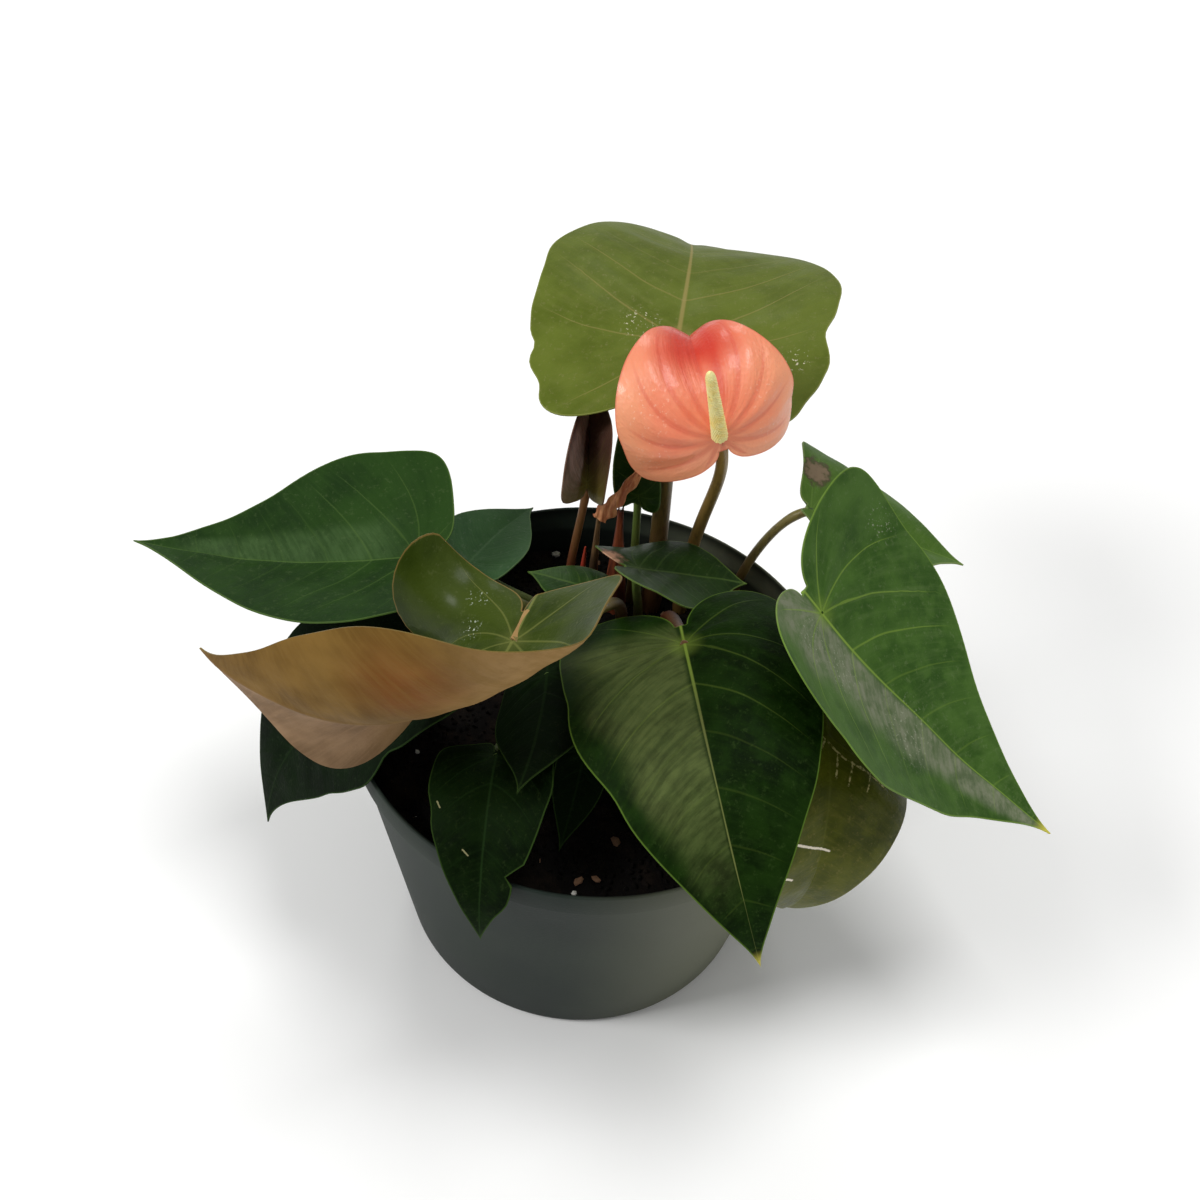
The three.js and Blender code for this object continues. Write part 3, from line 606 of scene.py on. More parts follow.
def build_vein_group(name):
    """Midrib, side veins, fine veins and margin from a blade's own flat places."""
    tree, inputs, end = shader_group(
        name, [("Place", VECTOR), ("Vein", VECTOR), ("Midrib width", FLOAT, 1.3),
               ("Vein width", FLOAT, 0.55), ("Margin width", FLOAT, 0.5), ("Far veins", FLOAT, 0.35)],
        ("Midrib", "Veins", "Halo", "Fine", "Margin"))
    s, y, edge = split(inputs["Place"])
    phase, gap, along = split(inputs["Vein"])
    flat = vector_of(s, y)
    wander = times(minus(noise(flat, 0.05, 1.0), 0.5), 0.1)
    phase = plus(phase, wander)
    reach = calc("ABSOLUTE", y)
    rib = times(inputs["Midrib width"], ramped(s, 0.0, 110.0, 1.0, 0.3))
    midrib = ramped(reach, times(rib, 0.3), rib, 1.0, 0.0)
    width = times(inputs["Vein width"], ramped(along, 0.1, 1.0, 1.0, 0.35))
    away = times(calc("PINGPONG", phase, 0.5), gap)
    fade = ramped(along, 0.7, 0.97, 1.0, 0.0)
    side = ramped(away, times(width, 0.25), width, 1.0, 0.0)
    fade = times(fade, ramped(phase, 0.6, 2.2, 1.0, inputs["Far veins"]))
    side = times(side, fade)
    wide = times(width, 6.0)
    halo = times(ramped(away, 0.0, wide, 1.0, 0.0), fade)
    halo = calc("MAXIMUM", halo, ramped(reach, 0.0, times(rib, 3.5), 1.0, 0.0))
    between = times(calc("PINGPONG", times(phase, 5.0), 0.5), gap)
    fine = ramped(between, 0.1, 0.8, 1.0, 0.0)
    margin = ramped(edge, times(inputs["Margin width"], 0.35), inputs["Margin width"], 1.0, 0.0)
    feed(end, {"Midrib": midrib, "Veins": side, "Halo": halo, "Fine": fine, "Margin": margin})
    return tree


def build_grain_group(name):
    """Mottling, streaks along the veins, specks, and the fine network of a blade's skin."""
    tree, inputs, end = shader_group(
        name, [("Place", VECTOR), ("Vein", VECTOR), ("Mottle size", FLOAT, 9.0), ("Streaks", FLOAT, 7.0)],
        ("Mottle", "Blotch", "Streak", "Cells", "Network", "Specks"))
    s, y, _ = split(inputs["Place"])
    phase, _, along = split(inputs["Vein"])
    flat = vector_of(s, y)
    size = calc("DIVIDE", 1.0, inputs["Mottle size"])
    run = vector_of(times(phase, inputs["Streaks"]), times(along, 2.2), times(y, 0.03))
    network = number_node("TexVoronoi", {"Vector": flat, "Scale": 0.42}, feature="DISTANCE_TO_EDGE")
    elsewhere = vector_calc("ADD", flat, (37.0, 11.0, 5.0))
    feed(end, {
        "Mottle": noise(flat, size, 4.0, 0.6),
        "Blotch": noise(elsewhere, times(size, 0.35), 2.0),
        "Streak": noise(run, 1.0, 4.0, 0.65),
        "Cells": number_node("TexVoronoi", {"Vector": flat, "Scale": 0.85})[0],
        "Network": ramped(network[0], 0.0, 0.12, 1.0, 0.0),
        "Specks": ramped(noise(elsewhere, 0.7, 3.0, 0.7), 0.56, 0.7),
    })
    return tree


def build_grit_group(name):
    """Patches and fine grain on Object coordinates, for what isn't a blade."""
    tree, inputs, end = shader_group(
        name, [("Coordinates", VECTOR), ("Patch scale", FLOAT, 60.0), ("Grain scale", FLOAT, 900.0)],
        ("Patches", "Grain", "Height"))
    patches = noise(inputs["Coordinates"], inputs["Patch scale"], 4.0, 0.55)
    grain = noise(inputs["Coordinates"], inputs["Grain scale"], 3.0, 0.7)
    height = plus(times(patches, 0.4), times(grain, 0.6))
    feed(end, {"Patches": patches, "Grain": grain, "Height": height})
    return tree


def new_material(name):
    """An empty material with its Principled shader."""
    material = bpy.data.materials.new(name)
    material.use_nodes = True
    tree = material.node_tree
    return material, tree, tree.nodes["Principled BSDF"]


def set_shader(shader, colour, roughness, height=None, bump=0.0, **constants):
    """Feeds the shader. The bump is how far the height stands out, in metres."""
    feed(shader, {"Base Color": colour, "Roughness": roughness})
    if height is not None:
        raised = number_node("Bump", {"Strength": 1.0, "Distance": bump, "Height": height})
        feed(shader, {"Normal": raised[0]})
    for key, value in constants.items():
        feed(shader, {key.replace("_", " ").title().replace("Ior", "IOR"): value})


def attribute(tree, name, output="Vector"):
    """What the piece's mesh keeps under that name."""
    return node(tree, "ShaderNodeAttribute", attribute_name=name).outputs[output]


def object_place(tree):
    """The place in the object's own coordinates, in metres."""
    return node(tree, "ShaderNodeTexCoord").outputs["Object"]


def blade_groups(tree, vein_values, grain_values):
    """The place on the blade, and its vein and grain groups."""
    own = {"Place": attribute(tree, "place"), "Vein": attribute(tree, "vein")}
    return (own["Place"], shared_group("Blade veins", build_vein_group, {**own, **vein_values}),
            shared_group("Blade grain", build_grain_group, {**own, **grain_values}))


def grit_on(place, patch_scale, grain_scale):
    """Patches and fine grain at a place of a piece that isn't a blade."""
    values = {"Coordinates": place, "Patch scale": patch_scale, "Grain scale": grain_scale}
    return shared_group("Grit", build_grit_group, values)


# Finishes of the leaves

# Each look: the dark and light tone of the face, its veins and margin, how clearly the side
# veins and the midrib show, the grey bloom and its share, the roughness, and the underside's
# two tones. Some have more: a band of painted sheen along one half and its colour (on the dusty
# leaf, dust and painted sheen), a withered patch, a midrib, tip, foot or lower foot in another
# colour, flecks, scratches and their width, painted glints along crease lines, how far the tone
# is mottled, how stout the midrib is, the shine and coat, and an underside with a flush or a paler half.
LOOKS = {
    DEEP: dict(
        dark=(18, 42, 8), light=(36, 64, 18), vein=(78, 104, 46), margin=(84, 110, 50),
        clear=(0.3, 0.5), bloom=(74, 92, 54), share=0.08, gloss=0.42,
        below=((50, 72, 38), (78, 98, 56)),
        # A band of painted sheen, lighter and greyer, along one half.
        sheen=(72, 98, 56),
        band=dict(half=-1, reach=(0, 20), run=(0, 80), share=0.55),
    ),
    # Near-black tones: painted shade for a leaf that lies in another leaf's shadow.
    "dim": dict(
        dark=(3, 12, 2), light=(12, 28, 7), vein=(30, 48, 20), margin=(48, 70, 32),
        clear=(0.2, 0.4), bloom=(40, 54, 32), share=0.08, gloss=0.5, shine=0.04, coat=0.0,
        below=((28, 46, 22), (48, 66, 36)),
    ),
    "blue": dict(
        dark=(38, 66, 36), light=(54, 84, 48), vein=(70, 96, 62), margin=(84, 108, 66),
        clear=(0.1, 0.3), bloom=(92, 108, 88), share=0.15, gloss=0.46,
        below=((52, 74, 46), (78, 98, 60)),
    ),
    "satin": dict(
        dark=(4, 17, 1), light=(23, 46, 7), vein=(128, 152, 62), margin=(96, 126, 46),
        clear=(0.14, 0.75), bloom=(52, 72, 32), share=0.14, gloss=0.46, mottled=0.6, shine=0.035, coat=0.0,
        below=((56, 78, 38), (84, 104, 54)), rib=(112, 118, 66), tip=(196, 184, 84),
        # A band of painted sheen along one half, where light glances off the blade.
        sheen=(98, 110, 62),
        band=dict(half=-1, reach=(1, 40), run=(-18, 88), share=0.72, cloud=0.8, fade=46),
    ),
    "dusty": dict(
        dark=(42, 72, 22), light=(72, 104, 42), vein=(130, 158, 62), margin=(114, 144, 58),
        clear=(0.45, 0.85), bloom=(104, 122, 80), share=0.25, gloss=0.46, mottled=0.55,
        below=((56, 82, 42), (84, 110, 58)), rib=(118, 146, 60), tip=(206, 196, 78),
        # Dust and painted sheen: a grey, streaky band along one half.
        sheen=(132, 134, 114),
        band=dict(half=-1, reach=(1, 30), run=(-34, 108), share=0.82, cloud=0.5),
        fleck=(146, 152, 128),
        flecks=(((-2.0, -14.0), 12.0), ((14.0, -12.0), 12.0), ((44.0, -9.0), 16.0), ((2.0, 38.0), 9.0)),
    ),
    "fresh": dict(
        dark=(60, 92, 28), light=(86, 116, 48), vein=(106, 134, 62), margin=(132, 152, 84),
        clear=(0.3, 0.5), bloom=(108, 122, 88), share=0.2, gloss=0.46,
        below=((62, 82, 52), (88, 104, 76)), patch=((0.0, 14.0), 5.0, (126, 108, 88)),
    ),
    "shade": dict(
        dark=(3, 12, 1), light=(12, 30, 6), vein=(30, 50, 20), margin=(54, 76, 32),
        clear=(0.25, 0.5), bloom=(40, 50, 28), share=0.08, gloss=0.55, shine=0.04, coat=0.0,
        below=((16, 32, 12), (30, 46, 22)),
    ),
    # Near-black tones: painted shade for a leaf under the others, with a few pale scratches.
    "scuffed": dict(
        dark=(2, 10, 1), light=(15, 33, 6), vein=(34, 56, 24), margin=(56, 80, 32),
        clear=(0.25, 0.5), bloom=(44, 58, 28), share=0.15, gloss=0.5, shine=0.03, coat=0.0,
        below=((16, 32, 12), (30, 46, 22)), fleck=(142, 138, 100), mottled=0.5, scratch=0.35,
        scratches=(((16.2, -14.9), (18.0, -13.8)), ((29.3, -5.8), (30.8, -4.2))),
    ),
    "torn": dict(
        dark=(20, 40, 12), light=(42, 66, 26), vein=(82, 106, 52), margin=(104, 128, 60),
        clear=(0.3, 0.6), bloom=(80, 94, 62), share=0.2, gloss=0.42, mottled=0.4,
        below=((44, 66, 32), (66, 86, 46)), patch=((-9.0, 5.0), 4.5, (206, 160, 130)),
    ),
    "olive": dict(
        dark=(75, 87, 22), light=(94, 106, 37), vein=(142, 128, 74), margin=(130, 136, 70), stout=1.5,
        clear=(0.4, 0.75), bloom=(126, 122, 80), share=0.2, gloss=0.44, mottled=0.45,
        below=((84, 98, 46), (114, 122, 68)), fleck=(214, 206, 180),
        flecks=(((4.0, 12.0), 8.0), ((-6.0, -36.0), 6.0)),
    ),
    "bronze": dict(
        dark=(54, 62, 6), light=(90, 94, 20), vein=(98, 102, 40), margin=(120, 118, 60),
        clear=(0.15, 0.3), bloom=(128, 118, 62), share=0.2, gloss=0.3, coat=0.1, mottled=0.5,
        below=((74, 78, 34), (104, 104, 54)), fleck=(236, 226, 206),
        # Painted glints: short pale gold strokes along the crumpled crease lines.
        crease_glints=(((13, -3), (20, 5)), ((20, 5), (23, 12)), ((22, 11), (28, 21)), ((19, 3), (26, 2)),
                 ((21, 8), (28, 6)), ((24, 15), (30, 13)), ((15, -1), (21, -5))),
        scratches=(((44.9, -9.9), (48.0, 2.4)), ((55.6, -11.7), (57.2, -8.0))),
    ),
    "copper": dict(
        dark=(32, 46, 2), light=(58, 72, 16), vein=(118, 122, 62), margin=(140, 112, 62),
        clear=(0.4, 0.5), bloom=(88, 96, 54), share=0.15, gloss=0.4, coat=0.1, ribs=0.06,
        below=((96, 70, 26), (128, 98, 46)), below_foot=(170, 136, 88), flush=((43, 27), (132, 72, 28)),
        pale_half=((116, 90, 62), (152, 122, 90)), fleck=(196, 204, 184),
        # The flecks are painted highlights.
        flecks=(((-16.0, -17.5), 5.0), ((-3.0, -17.5), 6.0)),
    ),
    "maroon": dict(
        dark=(44, 26, 20), light=(80, 54, 43), vein=(108, 104, 50), margin=(98, 68, 54),
        clear=(0.2, 0.7), bloom=(104, 88, 80), share=0.3, gloss=0.4,
        below=((60, 38, 32), (92, 68, 58)), foot=(96, 88, 34),
        # A band of painted sheen, brown-grey, along one half.
        sheen=(164, 142, 132),
        band=dict(half=1, reach=(5, 26), run=(-8, 44), share=0.9),
    ),
}


def leaf_groups(tree, settings, look):
    """The place on the blade, and its vein and grain groups for the settings."""
    midrib = look.get("stout", 1.0) * settings.midrib_width / MM
    return blade_groups(tree, {"Midrib width": midrib, "Vein width": settings.vein_width / MM},
                        {"Mottle size": settings.mottle / MM, "Streaks": 7.0})


def leaf_face_material(name, settings, look, length):
    """The upper face: its tones, a band of painted sheen, lighter veins, marks with painted glints among
    them, and gloss.
    """
    material, tree, shader = new_material(f"{name} leaf face")
    place, veins, grain = leaf_groups(tree, settings, look)
    s = split(place)[0]
    dusty = times(ramped(grain["Streak"], 0.46, 0.78), ramped(grain["Blotch"], 0.62, 0.36, 0.25, 1.0))
    colour = face_tone(s, veins, grain, dusty, look)
    # Painted sheen: a lighter band along one half of the blade.
    if "band" in look:
        band = painted_sheen_band(place, grain, settings.streaks, length, **look["band"])
        colour = blended(band, colour, tint(*look["sheen"]))
    colour = face_veins(place, s, veins, colour, look)
    rough = plus(look["gloss"], times(dusty, 0.2), times(grain["Streak"], 0.14))
    if "patch" in look:
        colour, rough = withered(place, colour, rough, *look["patch"])
    if "tip" in look:
        near_tip = ramped(s, 0.93 * length, 0.99 * length, 0.0, 0.9)
        colour = blended(near_tip, colour, tint(*look["tip"]))
    colour = face_marks(place, colour, look)
    height = weighted(grain, Streak=0.4, Cells=0.16, Network=-0.12)
    height = plus(height, times(veins["Veins"], 0.35))
    set_shader(shader, colour, rough, height, 0.00018, specular_ior_level=look.get("shine", 0.07),
               coat_weight=look.get("coat", 0.03), coat_roughness=0.2)
    return material


def face_tone(s, veins, grain, dusty, look):
    """Dark and light patches, lighter beside the veins, with dust and specks."""
    dark, light, bloom = (tint(*look[key]) for key in ("dark", "light", "bloom"))
    tone = weighted(grain, Blotch=0.75, Streak=0.25)
    colour = blended(ramped(tone, 0.32, 0.68, 0.1, 0.9), dark, light)
    mottled = times(ramped(grain["Mottle"], 0.42, 0.66), look.get("mottled", 0.25))
    colour = blended(mottled, colour, light)
    colour = blended(times(veins["Halo"], 0.18), colour, light)
    colour = blended(times(dusty, look["share"]), colour, bloom)
    colour = blended(times(veins["Fine"], 0.08), colour, light)
    colour = blended(times(grain["Specks"], 0.3), colour, bloom)
    if "foot" in look:
        colour = blended(ramped(s, -5.0, 12.0, 0.8, 0.0), colour, tint(*look["foot"]))
    return colour


def face_veins(place, s, veins, colour, look):
    """The colour with the heart of the blade, its side veins, midrib and margin over it."""
    side, rib = look["clear"]
    vein = tint(*look["vein"])
    away = distance(flat_place(place), (0, 0, 0))
    colour = blended(ramped(away, 1.0, 7.0, 0.45 * rib, 0.0), colour, vein)
    colour = blended(times(veins["Veins"], side), colour, vein)
    line = blended(ramped(s, 6.0, 30.0), vein, tint(*look.get("rib", look["vein"])))
    colour = blended(times(veins["Midrib"], rib), colour, line)
    return blended(times(veins["Margin"], 0.6), colour, tint(*look["margin"]))


# Colour of the painted glints along crease lines.
CREASE_GLINT_COLOUR = (206, 192, 136)


def face_marks(place, colour, look):
    """The colour with its flecks (painted highlights on the copper leaf), scratches and painted glints along
    crease lines over it.
    """
    for centre, radius in look.get("flecks", ()):
        colour = blended(fleck_cluster(place, centre, radius), colour, tint(*look["fleck"]))
    for start, end in look.get("scratches", ()):
        line = scratch(place, start, end, look.get("scratch", 0.6))
        colour = blended(line, colour, tint(*look["fleck"]))
    # Painted glints along crease lines, broken into short strokes.
    for start, end in look.get("crease_glints", ()):
        line = times(scratch(place, start, end, 0.55), 0.8)
        broken = ramped(noise(flat_place(place), 0.8, 3.0, 0.6), 0.42, 0.56)
        colour = blended(times(line, broken), colour, tint(*CREASE_GLINT_COLOUR))
    return colour


def painted_sheen_band(place, grain, streaks, length, half, reach, run, share, cloud=0.7, fade=16):
    """The share of a band of painted sheen beside the midrib on one half: cloudy, streaky, narrower at the
    tip.
    """
    s, y, _ = split(place)
    narrow = calc("MAXIMUM", 0.15, minus(1.08, calc("DIVIDE", s, length)))
    away = calc("DIVIDE", times(y, float(half)), narrow)
    drift = times(minus(grain["Blotch"], 0.5), 0.5 * reach[1])
    inner = ramped(away, reach[0] - 1.0, reach[0] + 1.5)
    outer = ramped(plus(away, drift), 0.55 * reach[1], reach[1], 1.0, 0.0)
    starts = ramped(s, run[0], run[0] + 14.0)
    ends = ramped(s, run[1] - fade, run[1], 1.0, 0.0)
    broken = ramped(grain["Streak"], 0.32, 0.66, 1.0 - streaks, 1.0)
    band = times(times(inner, outer), times(starts, ends))
    cloudy = ramped(grain["Mottle"], 0.36, 0.6, cloud, 1.0)
    return times(times(band, broken), times(cloudy, share))


def flat_place(place):
    """The place on the flat blade, without the distance to the margin."""
    s, y, _ = split(place)
    return vector_of(s, y)


def fleck_cluster(place, centre, radius):
    """The share of small pale flecks around a centre."""
    flat = flat_place(place)
    away = distance(flat, (*centre, 0))
    near = ramped(away, 0.3 * radius, radius, 1.0, 0.0)
    specks = ramped(noise(flat, 0.9, 2.0, 0.6), 0.6, 0.68)
    return times(times(near, specks), 0.85)


def scratch(place, start, end, width):
    """The share of a thin, wavering line from start to end."""
    flat = flat_place(place)
    from_start = vector_calc("SUBTRACT", flat, (*start, 0))
    line = (end[0] - start[0], end[1] - start[1], 0)
    along = number_node("VectorMath", {0: from_start, 1: line}, operation="DOT_PRODUCT")["Value"]
    along = calc("DIVIDE", along, line[0] ** 2 + line[1] ** 2)
    along = calc("MINIMUM", 1.0, calc("MAXIMUM", 0.0, along))
    away = distance(from_start, scaled(line, along))
    wobble = times(noise(flat, 1.2, 2.0), 0.8 * width)
    return ramped(plus(away, wobble), 0.8 * width, 1.2 * width, 1.0, 0.0)


def withered(place, colour, rough, centre, radius, dry):
    """A dry patch of the blade with a darker rim."""
    flat = flat_place(place)
    away = distance(flat, (*centre, 0))
    away = plus(away, times(minus(noise(flat, 0.4, 4.0), 0.5), 9.0))
    brown = tint(*(0.6 * c for c in dry))
    colour = blended(ramped(away, radius - 0.5, radius + 1.5, 0.8, 0.0), colour, brown)
    colour = blended(ramped(away, radius - 2.5, radius, 0.9, 0.0), colour, tint(*dry))
    return colour, calc("MAXIMUM", rough, ramped(away, radius - 0.5, radius + 0.5, 0.75, 0.0))


def leaf_back_material(name, settings, look):
    """The underside: paler and duller, with the veins standing out."""
    material, tree, shader = new_material(f"{name} leaf underside")
    place, veins, grain = leaf_groups(tree, settings, look)
    dark, light = (tint(*tone) for tone in look["below"])
    if "pale_half" in look:
        far = ramped(split(place)[1], -1.5, 1.5, 1.0, 0.0)
        pale_dark, pale_light = (tint(*tone) for tone in look["pale_half"])
        dark, light = blended(far, dark, pale_dark), blended(far, light, pale_light)
    colour = blended(ramped(grain["Blotch"], 0.3, 0.7), dark, light)
    if "below_foot" in look:
        near_foot = ramped(split(place)[0], 12.0, 46.0, 0.9, 0.0)
        colour = blended(near_foot, colour, tint(*look["below_foot"]))
    if "flush" in look:
        centre, red = look["flush"]
        away = distance(flat_place(place), (*centre, 0))
        colour = blended(ramped(away, 2.0, 20.0, 0.55, 0.0), colour, tint(*red))
    colour = blended(times(ramped(grain["Mottle"], 0.35, 0.7), 0.25), colour, dark)
    colour = blended(times(ramped(grain["Streak"], 0.4, 0.7), 0.4), colour, light)
    lines = calc("MAXIMUM", veins["Midrib"], veins["Veins"])
    ribs = look.get("ribs", 0.4)
    colour = blended(times(lines, ribs), colour, tint(*(1.12 * c for c in look["below"][1])))
    height = plus(times(grain["Streak"], 0.5), times(lines, 2 * ribs), times(grain["Cells"], 0.3))
    rough = plus(0.5, times(grain["Mottle"], 0.15))
    set_shader(shader, colour, rough, height, 0.00016, specular_ior_level=look.get("shine", 0.08))
    return material


def leaf_materials(settings, kind, length):
    """The face and underside of one kind of leaf, made once."""
    name = kind.capitalize()
    found = bpy.data.materials.get(f"{name} leaf face"), bpy.data.materials.get(f"{name} leaf underside")
    if all(found):
        return found
    look = LOOKS[kind]
    return leaf_face_material(name, settings, look, length), leaf_back_material(name, settings, look)


# Blade geometry

SIDE_VEINS = 6.5
RAY_ANGLE = math.radians(37)
FURROW_ANGLE = math.radians(25)


def leaf_phase(blade, s, y):
    """A number that is whole on each side vein: arcs from the midrib, rays into the lobes."""
    half = blade.width / 2
    back = s - 0.55 * y**2 / half
    root = back - 0.4 * y
    first = math.atan2(1, 0.4)
    ray = (first - np.arctan2(y, back)) / RAY_ANGLE
    return np.where(root >= 0, root / (blade.length / SIDE_VEINS), ray)


def spathe_phase(blade, s, y):
    """A number that is whole on each furrow: arcs from the junction round to the tip."""
    seen = np.arctan2(y * blade.length, s * (s - blade.length) + y**2)
    return (math.pi - seen) / FURROW_ANGLE


def blade_fields(blade, phase, s, y, share, outlines):
    """Per point: place (s, y, distance to the margin) and vein (phase, spacing, share)."""
    reach, step = np.abs(y), 0.01
    here = phase(blade, s, reach)
    along_s = (phase(blade, s + step, reach) - here) / step
    along_y = (phase(blade, s, reach + step) - here) / step
    spacing = 1 / np.maximum(1e-3, np.hypot(along_s, along_y))
    outline = np.concatenate([outlines[0], outlines[1][::-1] * (1, -1)])
    starts, ends = outline[:-1], outline[1:]
    spans = ends - starts
    flat = np.stack([s, y], -1)[:, None, :]
    t = np.clip(((flat - starts) * spans).sum(-1) / np.maximum(1e-9, (spans**2).sum(-1)), 0, 1)
    edge = np.linalg.norm(flat - starts - t[..., None] * spans, axis=-1).min(1)
    return np.stack([s, y, edge], -1), np.stack([here, spacing, share], -1)


def blade_sheet(blade, counts, rows):
    """The blade's flat places, faces and outlines, its two halves joined at the midrib."""
    flats, shares, faces, outlines, index = [], [], [], [], {}
    for half in (0, 1):
        s, y, share, outline = blade.grid(half, counts, rows)
        outlines.append(outline)
        ids = np.empty(s.shape, int)
        for i in range(s.shape[0]):
            for r in range(s.shape[1]):
                key = (round(s[i, r], 4), round(y[i, r], 4))
                if key not in index:
                    index[key] = len(flats)
                    flats.append((s[i, r], y[i, r]))
                    shares.append(share[i, r])
                ids[i, r] = index[key]
        for i in range(1, s.shape[0]):
            for r in range(1, s.shape[1]):
                corners = [ids[i - 1, r - 1], ids[i - 1, r], ids[i, r], ids[i, r - 1]]
                corners = list(dict.fromkeys(corners))
                if len(corners) > 2:
                    faces.append(corners[::-1] if half else corners)
    flats = np.array(flats)
    return flats[:, 0], flats[:, 1], np.array(shares), faces, outlines


def sheet_normals(points, faces):
    """The way that a sheet faces at each of its points."""
    normals = np.zeros_like(points)
    for corners in faces:
        a, b = points[corners[2]] - points[corners[0]], points[corners[-1]] - points[corners[1]]
        if len(corners) == 3:
            a, b = points[corners[1]] - points[corners[0]], points[corners[2]] - points[corners[0]]
        normals[corners] += np.cross(a, b)
    return unit(normals)


def closed_sheet(points, normals, faces, above, below):
    """Both faces of a sheet and its rim, with the material slot of each face."""
    lower = len(points)
    open_edges = {}
    for corners in faces:
        for a, b in zip(corners, corners[1:] + corners[:1]):
            if (b, a) in open_edges:
                del open_edges[b, a]
            else:
                open_edges[a, b] = True
    rim = [[a, a + lower, b + lower, b] for a, b in open_edges]
    backs = [[c + lower for c in reversed(corners)] for corners in faces]
    solid = np.concatenate([points + normals * above[:, None], points - normals * below[:, None]])
    slots = [0] * len(faces) + [1] * len(backs) + [0] * len(rim)
    return solid, [list(map(int, f)) for f in (*faces, *backs, *rim)], slots


def make_blade(blade, name, settings, thickness, materials, phase, relief, counts, rows, plain=(0.5, 5)):
    """A blade as a thin closed mesh with its relief, and its flat places as attributes."""
    s, y, share, faces, outlines = blade_sheet(blade, counts, rows)
    place, vein = blade_fields(blade, phase, s, y, share, outlines)
    points = blade.on_blade(s, y)
    normals = sheet_normals(points, faces)
    away = place[:, 2]
    soft = smooth(away, 0, 0.14 * blade.width)
    swell = relief * (0.5 - 0.5 * np.cos(2 * math.pi * vein[:, 0])) * soft * smooth(np.abs(y), *plain)
    sway = 0.006 * blade.width * waves(place[:, :2], 0.3 * blade.length, seed=7 * len(blade.name)) * soft
    points = points + normals * (swell + sway)[:, None]
    normals = sheet_normals(points, faces)
    thick = np.interp(away, [0, 3], [settings.margin / MM / 2, thickness / 2])
    rib = settings.ridge / MM * np.exp(-((y / 0.9) ** 2)) * np.clip(1 - 0.8 * s / blade.length, 0, 1)
    solid, all_faces, slots = closed_sheet(points, normals, faces, thick + 0.3 * rib, thick + rib)
    made = mesh_object(name, solid, all_faces, materials, slots)
    give_attribute(made.data, "place", np.concatenate([place, place]))
    give_attribute(made.data, "vein", np.concatenate([vein, vein]))
    return made


def blade_detail(blade):
    """Columns from tip to shoulder, to lobe and to notch, and rows, for the blade's size."""
    size = max(0.4, min(1.0, blade.length / 90))
    return (round(40 * size), round(30 * size), round(32 * size)), round(20 * size)


LEAF_SLOTS = {"olive": "olive_leaf", "bronze": "olive_leaf", "copper": "copper_leaf", "maroon": "maroon_leaf"}


def make_leaves(settings):
    """A blade for each leaf."""
    for blade in LEAVES:
        counts, rows = blade_detail(blade)
        made = make_blade(blade, f"blade_{blade.name}", settings, settings.thickness / MM,
                          leaf_materials(settings, blade.look, blade.length), leaf_phase, settings.puff / MM,
                          counts, rows)
        place_piece(made, LEAF_SLOTS.get(blade.look, "green_leaf"), f"leaf_{blade.name}")


# Stems, sheaths and the red shoot


def stalk_line(blade, count=44):
    """Points up the stem and its radii: out of the soil, then over to the blade's underside."""
    foot, lift, bend, radius, _ = blade.stalk
    bottom = np.array([*foot, SOIL_TOP - ROOT_DEPTH], float)
    collar = np.array([*foot, SOIL_TOP + 2], float)
    seat = blade.junction - blade.base[2] * SEAT_DEPTH
    rise = collar + (0, 0, lift)
    path = np.concatenate([[bottom], bezier((collar, rise, bend, seat), count)])
    gone = np.concatenate([[0], np.cumsum(np.linalg.norm(np.diff(path, axis=0), axis=1))])
    t = gone / gone[-1]
    radii = radius * (1.15 - 0.25 * t)
    knee = np.exp(-(((gone[-1] - gone - 5) / 4) ** 2))
    sheathed = np.exp(-(((gone - ROOT_DEPTH - 4) / 7) ** 2))
    return path, radii * (1 + 0.14 * knee + 0.12 * sheathed)


def end_tree(tree, geometry, inputs, end):
    """Ends a geometry tree with real geometry and its material."""
    real = node(tree, "GeometryNodeRealizeInstances", {"Geometry": geometry})
    values = {"Geometry": real.outputs[0], "Material": inputs["Material"]}
    feed(end, {0: node(tree, "GeometryNodeSetMaterial", values).outputs[0]})
    return tree


def swept(tree, curve, sides):
    """A closed tube along a curve, as thick as the curve's radius says."""
    ring = node(tree, "GeometryNodeCurvePrimitiveCircle", {"Resolution": sides, "Radius": 1.0})
    tube = node(tree, "GeometryNodeCurveToMesh",
                {"Curve": curve, "Profile Curve": ring.outputs[0], "Fill Caps": True})
    if "Scale" in tube.inputs:
        feed(tube, {"Scale": node(tree, "GeometryNodeInputRadius").outputs[0]})
    return tube.outputs[0]


def stalk_tree():
    """A tube along a curve, with the share of its length kept for the colour."""
    tree, inputs, end = geometry_tree("Stalk tube", ("Sides", WHOLE, 14))
    share = node(tree, "GeometryNodeSplineParameter").outputs["Factor"]
    kept = node(tree, "GeometryNodeStoreNamedAttribute",
                {"Geometry": inputs["Geometry"], "Name": "share", "Value": share},
                data_type="FLOAT", domain="POINT")
    return end_tree(tree, swept(tree, kept.outputs[0], inputs["Sides"]), inputs, end)


def run_tree(obj, tree, values, name):
    """Puts the object through a geometry tree and keeps the result as a plain mesh."""
    modifier = obj.modifiers.new(tree.name, "NODES")
    modifier.node_group = tree
    for item in tree.interface.items_tree:
        if item.item_type == "SOCKET" and item.in_out == "INPUT" and item.name in values:
            modifier[item.identifier] = values[item.name]
    made = baked(obj, name)
    made.data.materials.clear()
    made.data.materials.append(values["Material"])
    made.data.polygons.foreach_set("material_index", [0] * len(made.data.polygons))
    made.data.shade_smooth()
    made.data.set_sharp_from_angle(angle=math.radians(55))
    return made


